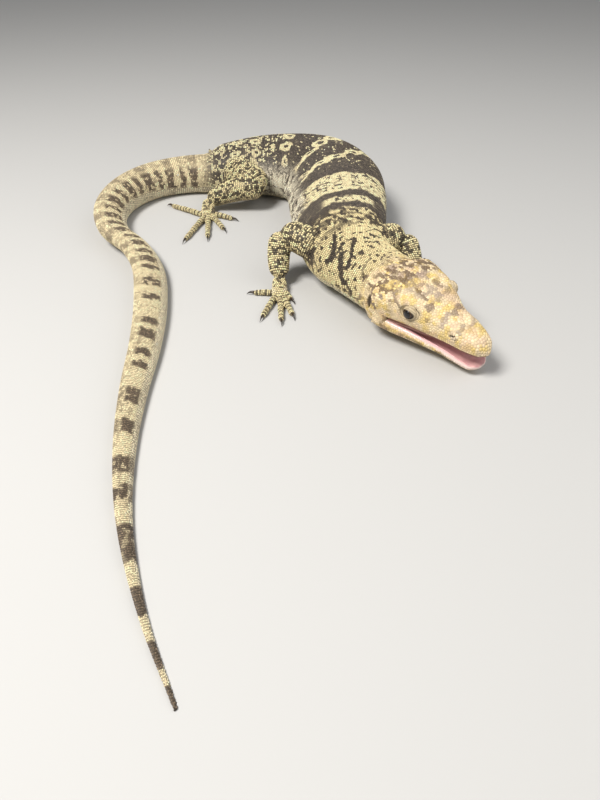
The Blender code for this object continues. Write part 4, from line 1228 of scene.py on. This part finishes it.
def scatter(points, faces, count, seed):
    """Random places over a surface of quads, even by area, with the normals there."""
    rng = np.random.default_rng(seed)
    quads = points[faces]
    normal = np.cross(quads[:, 2] - quads[:, 0], quads[:, 3] - quads[:, 1])
    area = np.linalg.norm(normal, axis=1)
    pick = rng.choice(len(faces), count, p=area / area.sum())
    u, v = rng.random((2, count, 1))
    a, b, c, d = quads[pick].swapaxes(0, 1)
    place = (a * (1 - u) + b * u) * (1 - v) + (d * (1 - u) + c * u) * v
    return place, unit(normal[pick])


def thin(points, radius):
    """Indices of the points kept, in order, none within the radius of one kept before."""
    tree = search_tree(points)
    alive = np.ones(len(points), bool)
    kept = []
    for k, p in enumerate(points):
        if alive[k]:
            kept.append(k)
            for _, other, _ in tree.find_range(p, radius[k]):
                alive[other] = False
    return np.array(kept)


def cells(points, normals, flow, longest):
    """How far each scale reaches in six directions before it meets its neighbours."""
    tree = search_tree(points)
    near = np.array([[k for _, k, _ in tree.find_n(p, 10)] for p in points])[:, 1:]
    away = points[near] - points[:, None]
    squared = (away ** 2).sum(-1)
    side = unit(np.cross(normals, flow))
    reach = np.zeros((len(points), SCALE_SIDES))
    directions = np.zeros((len(points), SCALE_SIDES, 3))
    for k in range(SCALE_SIDES):
        angle = 2 * math.pi * k / SCALE_SIDES
        direction = math.cos(angle) * flow + math.sin(angle) * side
        along = (away * direction[:, None]).sum(-1)
        half_way = squared / (2 * np.maximum(along, 1e-6))
        limit = np.where(along > 0.25 * np.sqrt(squared), half_way, FAR)
        reach[:, k] = np.minimum(limit.min(1), longest)
        directions[:, k] = direction
    return reach, directions


def coat_mesh(scales, pick, form):
    """Domed scales with sunk rims: points, triangles and the painted shading of each point."""
    wide, narrow, _, edge, _ = form
    keys = ("root", "normal", "flow", "reach", "direction", "height", "drop")
    root, normal, flow, reach, direction, height, drop = (scales[key][pick] for key in keys)
    out = normal[:, None]
    rim = root[:, None] + direction * (reach * wide)[..., None] + out * (drop - 0.10)[..., None]
    lift = (height * 0.78)[:, None] + drop * narrow ** 2
    shoulder = root[:, None] + direction * (reach * narrow)[..., None] + out * lift[..., None]
    apex = root + normal * height[:, None] + flow * (reach.mean(1) * 0.12)[:, None]
    points = np.concatenate([rim, shoulder, apex[:, None]], axis=1)
    points[..., 2] = np.maximum(points[..., 2], SCALE_CLEAR)
    k = np.arange(SCALE_SIDES)
    after = (k + 1) % SCALE_SIDES
    top = np.full(SCALE_SIDES, SCALE_POINTS - 1)
    one = np.concatenate([np.stack([k, after, after + SCALE_SIDES], -1),
                          np.stack([k, after + SCALE_SIDES, k + SCALE_SIDES], -1),
                          np.stack([k + SCALE_SIDES, after + SCALE_SIDES, top], -1)])
    start = np.arange(len(pick))[:, None, None] * SCALE_POINTS
    # painted shading: the rim darkened by the region's painted shade, the shoulder a little darker,
    # the top lighter as a painted highlight
    painted_shading = np.repeat((edge, 0.98, 1.04), (SCALE_SIDES, SCALE_SIDES, 1))
    return points.reshape(-1, 3), (start + one[None]).reshape(-1, 3), np.tile(painted_shading, len(pick))


def set_tint(piece, colours):
    """Paints a mesh with a colour for each point."""
    layer = piece.data.color_attributes.new("tint", "FLOAT_COLOR", "POINT")
    rows = np.column_stack([colours, np.ones(len(colours))])
    layer.data.foreach_set("color", rows.astype(np.float32).ravel())


def set_uv(piece, place):
    """A patch for each scale, at its place, in the map named OFBake."""
    low, high = place.min(0), place.max(0)
    centre = 0.01 + 0.98 * (place - low) / np.maximum(high - low, 1e-6)
    angle = 2 * math.pi * np.arange(SCALE_SIDES) / SCALE_SIDES
    ring = np.column_stack([np.cos(angle), np.sin(angle)])
    patch = 0.0015 * np.concatenate([ring, 0.68 * ring, [[0, 0]]])
    uv = (centre[:, None] + patch[None]).reshape(-1, 2)
    layer = piece.data.uv_layers.new(name="OFBake")
    corner = np.zeros(len(piece.data.loops), int)
    piece.data.loops.foreach_get("vertex_index", corner)
    layer.data.foreach_set("uv", uv[corner].astype(np.float32).ravel())


def new_material(name, values):
    """A material and its shader, with the values set on the shader's own sockets."""
    made = bpy.data.materials.new(name)
    made.use_nodes = True
    surface = made.node_tree.nodes["Principled BSDF"]
    for socket, value in values.items():
        surface.inputs[socket].default_value = value
    return made, surface


def add_node(tree, kind, values, links, **settings):
    """A new node with its settings, the values of its inputs and its links."""
    made = tree.nodes.new(f"ShaderNode{kind}")
    for name, value in settings.items():
        setattr(made, name, value)
    for socket, value in values.items():
        made.inputs[socket].default_value = value
    for socket, source in links.items():
        tree.links.new(source, made.inputs[socket])
    return made


def grain_nodes(tree, colour, scale, low, high, **more):
    """A fine noise on the object, and the colour scaled by it between low and high."""
    place = add_node(tree, "TexCoord", {}, {})
    grain = add_node(tree, "TexNoise", {"Scale": scale, **more}, {"Vector": place.outputs["Object"]})
    vary = add_node(tree, "MapRange", {"To Min": low, "To Max": high},
                    {"Value": grain.outputs["Fac"]})
    tone = add_node(tree, "VectorMath", {}, {0: colour, "Scale": vary.outputs["Result"]},
                    operation="SCALE")
    return grain.outputs["Fac"], tone.outputs["Vector"]


def node_material(name, roughness, bump_size, bump_depth, coat=0.0):
    """Skin whose colour is painted on the mesh, with a fine grain in gloss and relief."""
    made, surface = new_material(name, {"Roughness": roughness, "Coat Weight": coat})
    tree = made.node_tree
    tint = add_node(tree, "Attribute", {}, {}, attribute_name="tint")
    grain, tone = grain_nodes(tree, tint.outputs["Color"], bump_size, 0.86, 1.12, Detail=3)
    gloss = add_node(tree, "MapRange", {"To Min": roughness - 0.08, "To Max": roughness + 0.10},
                     {"Value": grain})
    relief = add_node(tree, "Bump", {"Strength": 0.5, "Distance": bump_depth}, {"Height": grain})
    tree.links.new(tone, surface.inputs["Base Color"])
    tree.links.new(gloss.outputs["Result"], surface.inputs["Roughness"])
    tree.links.new(relief.outputs["Normal"], surface.inputs["Normal"])
    return made


def eye_material():
    """Black pupil, brown iris with a thin pale ring, under a wet clear coat."""
    made, surface = new_material("eye", {"Roughness": 0.22, "Specular IOR Level": 0.3,
                                         "Coat Weight": 0.6, "Coat Roughness": 0.03})
    tree = made.node_tree
    polar = add_node(tree, "Attribute", {}, {}, attribute_name="polar")
    ramp = add_node(tree, "ValToRGB", {}, {"Fac": polar.outputs["Fac"]})
    band = ramp.color_ramp.elements
    while len(band) < len(EYE_RAMP):
        band.new(0.5)
    for element, (place, colour) in zip(band, EYE_RAMP):
        element.position = place
        element.color = (*srgb(*colour), 1)
    _, tone = grain_nodes(tree, ramp.outputs["Color"], 1800, 0.6, 1.5)
    tree.links.new(tone, surface.inputs["Base Color"])
    return made


def make_eye(side, word, middle, finish):
    """An eyeball whose pole looks out between the lids."""
    centre, axes = eye_frame(side)
    polar = np.concatenate([np.linspace(0.01, 0.8, 40), np.linspace(0.86, 3.12, 24)])
    around = 64
    radius = EYE_RADIUS + 0.35 * smoothstep(0.75, 0.45, polar)
    centres = centre + (np.cos(polar) * radius)[:, None] * axes[2]
    points, faces = shell(hoops(centres, np.sin(polar) * radius, axes[:1], axes[1:2], around))
    piece = mesh_object(f"eye_{word}", points, faces, middle)
    layer = piece.data.attributes.new("polar", "FLOAT", "POINT")
    values = np.concatenate([np.repeat(polar, around), [0, math.pi]]) / math.pi
    layer.data.foreach_set("value", values.astype(np.float32))
    piece.data.materials.append(finish)
    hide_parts(f"eye_{word}")
    return piece


def make_claws(claws, middle, finish):
    """Curved claws that narrow to a point, one at the end of each digit."""
    share = np.linspace(0, 1, CLAW_STATIONS)
    size = hermite(*CLAW_RADII, share)
    shells = []
    for claw in claws:
        run = claw["run"]
        along = claw["start"] + run * (share * claw["length"])[:, None]
        along[:, 2] = hermite(CLAW_LINE[0], np.array(CLAW_LINE[1]) * claw["thick"], share)
        across = np.array([-run[1], run[0], 0])
        up = np.cross(across, unit(np.gradient(along, axis=0)))
        ring = hoops(along, size, 0.78 * across[None], 1.15 * up, CLAW_STATIONS)
        ring[..., 2] = np.maximum(ring[..., 2], SCALE_CLEAR)
        shells.append(shell(ring))
    piece = mesh_object("claws", *join_shells(shells), middle)
    along = np.tile(np.concatenate([np.repeat(share, CLAW_STATIONS), [0, 1]]), len(claws))
    set_tint(piece, mix(CLAW_ROOT, CLAW_TIP, smoothstep(0.1, 0.9, along)))
    piece.data.materials.append(finish)
    return piece


def make_mouth(middle, finish):
    """Moist lining of the palate and of the floor of the mouth, with painted shade towards the back.
    """
    share = 0.032 + (0.765 - 0.032) * np.linspace(0, 1, MOUTH_ROWS) ** 1.4
    rows, across = np.meshgrid(share, np.linspace(-0.90, 0.90, MOUTH_COLUMNS), indexing="ij")
    rows, across = rows.ravel(), across.ravel()
    level = np.abs(across)
    roof = INSET + mouth_roof(rows, level) + 0.1 * np.sin(rows * 210) - 0.25
    ridge = 0.5 * bump(across, 0, 0.28) * smoothstep(0.15, 0.35, rows)
    ground = 0.20 - mouth_floor(rows, level) - 1.4 * smoothstep(0.80, 0.95, level) + ridge
    points = np.concatenate([head_place(rows, across * skull_half(rows, -INSET) * 0.97, roof),
                             head_place(rows, across * jaw_half(rows, -INSET), ground, GAPE)])
    row, col = np.meshgrid(np.arange(MOUTH_ROWS - 1), np.arange(MOUTH_COLUMNS - 1), indexing="ij")
    a = (row * MOUTH_COLUMNS + col).ravel()
    quads = np.stack([a, a + 1, a + MOUTH_COLUMNS + 1, a + MOUTH_COLUMNS], -1)
    piece = mesh_object("mouth", points, np.concatenate([quads, quads + len(rows)]), middle)
    share, across, _ = head_local(points)
    level = np.abs(across) / head_half(share)
    pink = mix(MOUTH_PINK, MOUTH_ROSE, 0.5 + 0.5 * noise(points, 3, 31))
    pink = mix(pink, LIP_SKIN, 0.8 * smoothstep(0.84, 0.90, level))
    # painted shade: darker towards the back and the middle of the mouth
    deep = 0.7 * smoothstep(0.35, 0.72, share) * smoothstep(0.80, 0.55, level)
    set_tint(piece, mix(pink, MOUTH_PAINTED_SHADE, deep))
    piece.data.materials.append(finish)
    return piece


def make_skin(spine, limbs):
    """The head, body and tail skins as one list of points, quads and zone numbers."""
    head, head_faces = head_skin(spine)
    tree = tree_of(head, head_faces)
    skins = [(sink_openings(head), head_faces, 0)] + [(*lids(side, tree), 0) for _, side in SIDES]
    skins += [(*body_skin(spine, limbs), 1), (*tail_skin(spine), 1)]
    points, faces, zones, start = [], [], [], 0
    for some, quads, zone in skins:
        points.append(some)
        faces.append(quads + start)
        zones.append(np.full(len(some), zone))
        start += len(some)
    return np.concatenate(points), np.concatenate(faces), np.concatenate(zones)


def paint(points, up, zones, spine, limbs):
    """Colour, painted shade of the skin in the grooves between scales, region, direction towards the
    tail and unwrapped place.
    """
    s, phi, radius, back = spine.coordinates(points)
    part, t, turn, ratio, lead = limbs.coordinates(points)
    share, across, high = head_local(points)
    start = spine.tail_start
    on_limb = smoothstep(1.06, 1.20, radius) * smoothstep(1.9, 1.5, ratio) * (zones == 1)
    colour = mix(trunk_colour(points, s, phi), tail_colour(points, s, phi),
                 smoothstep(start - 6, start + 22, s))
    colour = mix(colour, limb_colour(points, up, part, t, limbs), on_limb)
    on_head = smoothstep(1.16, 0.94, share) * (s < 40) * (1 - on_limb)
    colour = mix(colour, head_colour(points), on_head)
    # painted shade of the skin in the grooves between scales, for each region
    between = {key: form[4] for key, form in SCALE_FORM.items()}
    gap = between["body"] + (between["tail"] - between["body"]) * smoothstep(start, start + 60, s)
    gap = gap + (between["limb"] - gap) * on_limb
    gap = gap + (between["head"] - gap) * on_head
    name = np.where(on_limb > 0.5, "limb", np.where(s > start + 10, "tail", "body"))
    name = np.where(on_head > 0.5, "head", name)
    limb, head = (name == "limb")[:, None], (name == "head")[:, None]
    flow = np.where(head, -HEAD[:3, 0], np.where(limb, lead, back))
    place = np.column_stack([s / spine.length, phi / 360 + 0.5])
    limb_turn = (turn / 360 + 0.5 + part) / len(limbs.parts)
    place = np.where(limb, np.column_stack([t / 90, limb_turn]), place)
    head_turn = np.degrees(np.arctan2(-across, high - 8)) / 360 + 0.5
    place = np.where(head, np.column_stack([share, head_turn]), place)
    return colour, gap, name, flow, place


def candidates(tree, points, faces, zones, spine, limbs):
    """Places for scales, rows first and scattered ones after: point, normal, spacing, the
    radius that each keeps free, and 1 where it may still move."""
    groups = []
    for some, out, wide in (lip_places(), body_places(spine), limb_places(limbs)):
        found, normal, keep = snap(tree, some, out, 4.0, 1.4)
        groups.append((found, normal, wide[keep], wide[keep] * 0.74, np.zeros(len(keep))))
    zone = zones[faces[:, 0]]
    place, normal = scatter(points, faces[zone == 0], HEAD_TRIES, 41)
    wide = head_spacing(place)
    groups.append((place, normal, wide, wide * 0.88, np.ones(len(place))))
    place, normal = scatter(points, faces[zone == 1], BODY_TRIES, 42)
    s = spine.coordinates(place)[0]
    wide = 1.5 - 0.6 * smoothstep(spine.tail_start + 200, spine.length - 30, s)
    groups.append((place, normal, wide, wide * 0.87, np.ones(len(place))))
    return [np.concatenate(column) for column in zip(*groups)]


def rim_drop(tree, root, normal, reach, direction):
    """How far the skin lies above or below each corner of a scale's rim."""
    edge = root[:, None] + direction * reach[..., None]
    drop = np.zeros(reach.shape)
    for k, at in np.ndindex(drop.shape):
        touch = tree.find_nearest(Vector(edge[k, at]))[0]
        drop[k, at] = (np.array(touch) - edge[k, at]) @ normal[k]
    return np.clip(drop, -0.6, 0.3)


def vary_scales(colour, name):
    """Makes each scale a little lighter or darker than the next, and some of them odd."""
    rng = np.random.default_rng(51)
    loose = np.where((colour.mean(1) < 0.16) & (name != "head"), 0.30, 0.10)
    vary = np.exp(loose * rng.standard_normal(len(name)))
    odd = rng.choice([1.0, 1.18, 0.60], len(name), p=[0.86, 0.06, 0.08])
    vary = vary * np.where(name == "head", 1.0, odd)
    return np.minimum(colour * vary[:, None], BRIGHTEST)


def make_scales(points, faces, zones, spine, limbs):
    """Every scale's root, directions, reach, height, colour and place on the unwrap."""
    tree = tree_of(points, faces)
    root, normal, wide, radius, free = candidates(tree, points, faces, zones, spine, limbs)
    bare = in_openings(root) | mouth_inside(root)
    root, normal, wide, radius, free = (x[~bare] for x in (root, normal, wide, radius, free))
    kept = thin(root, radius)
    root, normal, wide, free = root[kept], normal[kept], wide[kept], free[kept] > 0
    open_air = np.array([tree.ray_cast(Vector(p + n * 0.25), Vector(n), 2.5)[0] is None
                         for p, n in zip(root, normal)])
    root, normal, wide, free = (x[open_air] for x in (root, normal, wide, free))
    root, normal = even_out(tree, root, normal, wide, free)
    near = np.array([tree.find_nearest(p)[2] for p in root])
    zone = zones[faces[near, 0]]
    colour, _, name, flow, place = paint(root, normal[:, 2], zone, spine, limbs)
    flow = unit(flow - normal * (flow * normal).sum(1)[:, None])
    reach, direction = cells(root, normal, flow, wide * np.where(free, 0.80, 0.68))
    height = np.array([SCALE_FORM[n][2] for n in name]) * np.clip(reach.mean(1) / 0.8, 0.35, 1.5)
    return {"root": root, "normal": normal, "flow": flow, "reach": reach, "direction": direction,
            "drop": rim_drop(tree, root, normal, reach, direction), "height": height,
            "colour": vary_scales(colour, name), "name": name, "place": place}


def even_out(tree, root, normal, wide, free):
    """Moves the scattered scales to the middle of their own room, a few times."""
    for _ in range(3):
        along = unit(np.cross(normal, (0.3, 0.2, 1.0)))
        reach, direction = cells(root, normal, along, wide)
        shift = (direction * (reach ** 3)[..., None]).sum(1) / (reach ** 2).sum(1)[:, None] * 0.6
        for k in np.flatnonzero(free):
            place, out, _, _ = tree.find_nearest(Vector(root[k] + shift[k]))
            root[k], normal[k] = place, out
    return root, normal


def mouth_inside(points):
    """True between the palate and the floor of the mouth and on the smooth lower lip."""
    share, across, up = head_local(points)
    low_share, _, low_up = head_local(points, GAPE)
    level = np.abs(across)
    back = MOUTH_CORNER - 0.01
    above = (level < head_half(share) * 0.93) & (up > -1.5) & (share > 0.03) & (share < back)
    below = (low_up > lip_depth(low_share)) & (low_up < 1.2)
    below &= (low_share > -0.05) & (low_share < back)
    return (above | below) & (up < 4.5) & (level < 40)


def in_openings(points):
    """True inside the nostrils and ears and between the lids."""
    found = np.zeros(len(points), bool)
    for _, side in SIDES:
        for place, size, tilt, _, _, _, clear in OPENINGS:
            _, _, w, rho = seen_from(points, side_frame(side, *place, tilt), size)
            found |= (rho < clear) & (np.abs(w) < OPENING_REACH)
        _, _, w, rho = seen_from(points, eye_frame(side), EYE_OPEN)
        found |= (rho < 1.10) & (w > EYE_BACK) & (w < 9)
    return found


def head_spacing(points):
    """Spacing of the head's scales: plates on snout and crown, granules round eye and cheek."""
    share, across, up = head_local(points)
    half, top = head_half(share), head_top(share)
    turn = np.degrees(np.arctan2(np.abs(across) / half, (up - 0.36 * top) / (0.64 * top)))
    spacing = 1.25 + 0.45 * smoothstep(75, 45, turn) + 0.25 * smoothstep(0.5, 0.2, share)
    for _, side in SIDES:
        rho = seen_from(points, eye_frame(side), EYE_OPEN)[3]
        spacing = np.where(rho < 2.2, 0.85, spacing)
    return np.where(up < -1, 1.25, spacing)


def make_coat(scales, middle, finish):
    """The scales as pieces small enough for the export, in order along the body."""
    for name, slot in SCALE_SLOTS.items():
        chosen = np.flatnonzero(scales["name"] == name)
        place = scales["place"]
        chosen = chosen[np.lexsort((place[chosen, 1], place[chosen, 0]))]
        count = max(1, math.ceil(len(chosen) / PIECE_SCALES))
        for k, pick in enumerate(np.array_split(chosen, count)):
            points, faces, painted_shading = coat_mesh(scales, pick, SCALE_FORM[name])
            piece = mesh_object(f"scales_{name}_{k + 1}", points, faces, middle)
            # each scale's colour times its painted shading
            set_tint(piece, np.repeat(scales["colour"][pick], SCALE_POINTS, axis=0) * painted_shading[:, None])
            set_uv(piece, place[pick])
            piece.data.materials.append(finish)
            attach(piece, "root")


def area_light(name, place, power, size, colour=(1, 1, 1)):
    """A square light that looks at the figure."""
    lamp = bpy.data.lights.new(name, "AREA")
    lamp.energy = power
    lamp.size = size
    lamp.color = colour
    made = bpy.data.objects.new(name, lamp)
    made.location = place
    made.rotation_euler = (Vector(LIGHT_AIM) - Vector(place)).to_track_quat("-Z", "Y").to_euler()
    bpy.context.scene.collection.objects.link(made)


def make_stage(middle):
    """Plain pale floor, soft light and the camera at the photograph's angle."""
    face = np.array([(0, 1, 2, 3)])
    below = np.array([middle[0], middle[1], 0])
    floor = mesh_object("floor", np.array(FLOOR_CORNERS), face, below, False)
    finish, _ = new_material("floor", {"Base Color": FLOOR_COLOUR, "Roughness": 0.75})
    floor.data.materials.append(finish)
    world = bpy.data.worlds.new("world")
    world.use_nodes = True
    sky = world.node_tree.nodes["Background"]
    sky.inputs["Color"].default_value = SKY_COLOUR
    sky.inputs["Strength"].default_value = SKY_STRENGTH
    bpy.context.scene.world = world
    bpy.context.scene.view_settings.view_transform = "Standard"
    area_light("key", (-0.55, -0.45, 1.15), 24, 0.45, (1.0, 0.975, 0.94))
    area_light("fill", (0.9, -0.3, 0.7), 5, 1.2)
    lens = bpy.data.cameras.new("camera")
    lens.lens = 26
    lens.sensor_width = 36
    lens.clip_start = 0.01
    camera = bpy.data.objects.new("camera", lens)
    camera.location = np.array(CAMERA_PLACE) * MM - middle
    camera.rotation_euler = (math.radians(90 - CAMERA_DIP), 0, 0)
    bpy.context.scene.collection.objects.link(camera)
    bpy.context.scene.camera = camera


def main():
    """Loads the solids, dresses them and hands the scene back."""
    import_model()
    low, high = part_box("eye_right")
    middle = eye_frame(-1)[0] * MM - np.array((low + high) / 2)
    spine = Spine()
    parts, claws = limb_parts()
    limbs = Limbs(parts)
    points, faces, zones = make_skin(spine, limbs)
    skin = mesh_object("skin", points, faces, middle)
    mesh_normals = np.zeros(len(points) * 3, np.float32)
    skin.data.vertices.foreach_get("normal", mesh_normals)
    colour, gap, _, _, _ = paint(points, mesh_normals.reshape(-1, 3)[:, 2], zones, spine, limbs)
    # the skin shows only in the grooves between scales and is darkened there by painted shade
    set_tint(skin, colour * gap[:, None])
    skin.data.materials.append(node_material("skin", 0.55, 900, 0.0002))
    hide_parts(*FLESH)
    pieces = [skin]
    scales = make_scales(points, faces, zones, spine, limbs)
    make_coat(scales, middle, node_material("scale", 0.46, 1400, 0.00008))
    wet = eye_material()
    for word, side in SIDES:
        pieces.append(make_eye(side, word, middle, wet))
    horn = node_material("claw", 0.32, 700, 0.0001, coat=0.3)
    pieces.append(make_claws(claws, middle, horn))
    lining = node_material("mouth", 0.42, 800, 0.0002, coat=0.15)
    pieces.append(make_mouth(middle, lining))
    for piece in pieces:
        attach(piece, "root")
    make_stage(middle)


main()
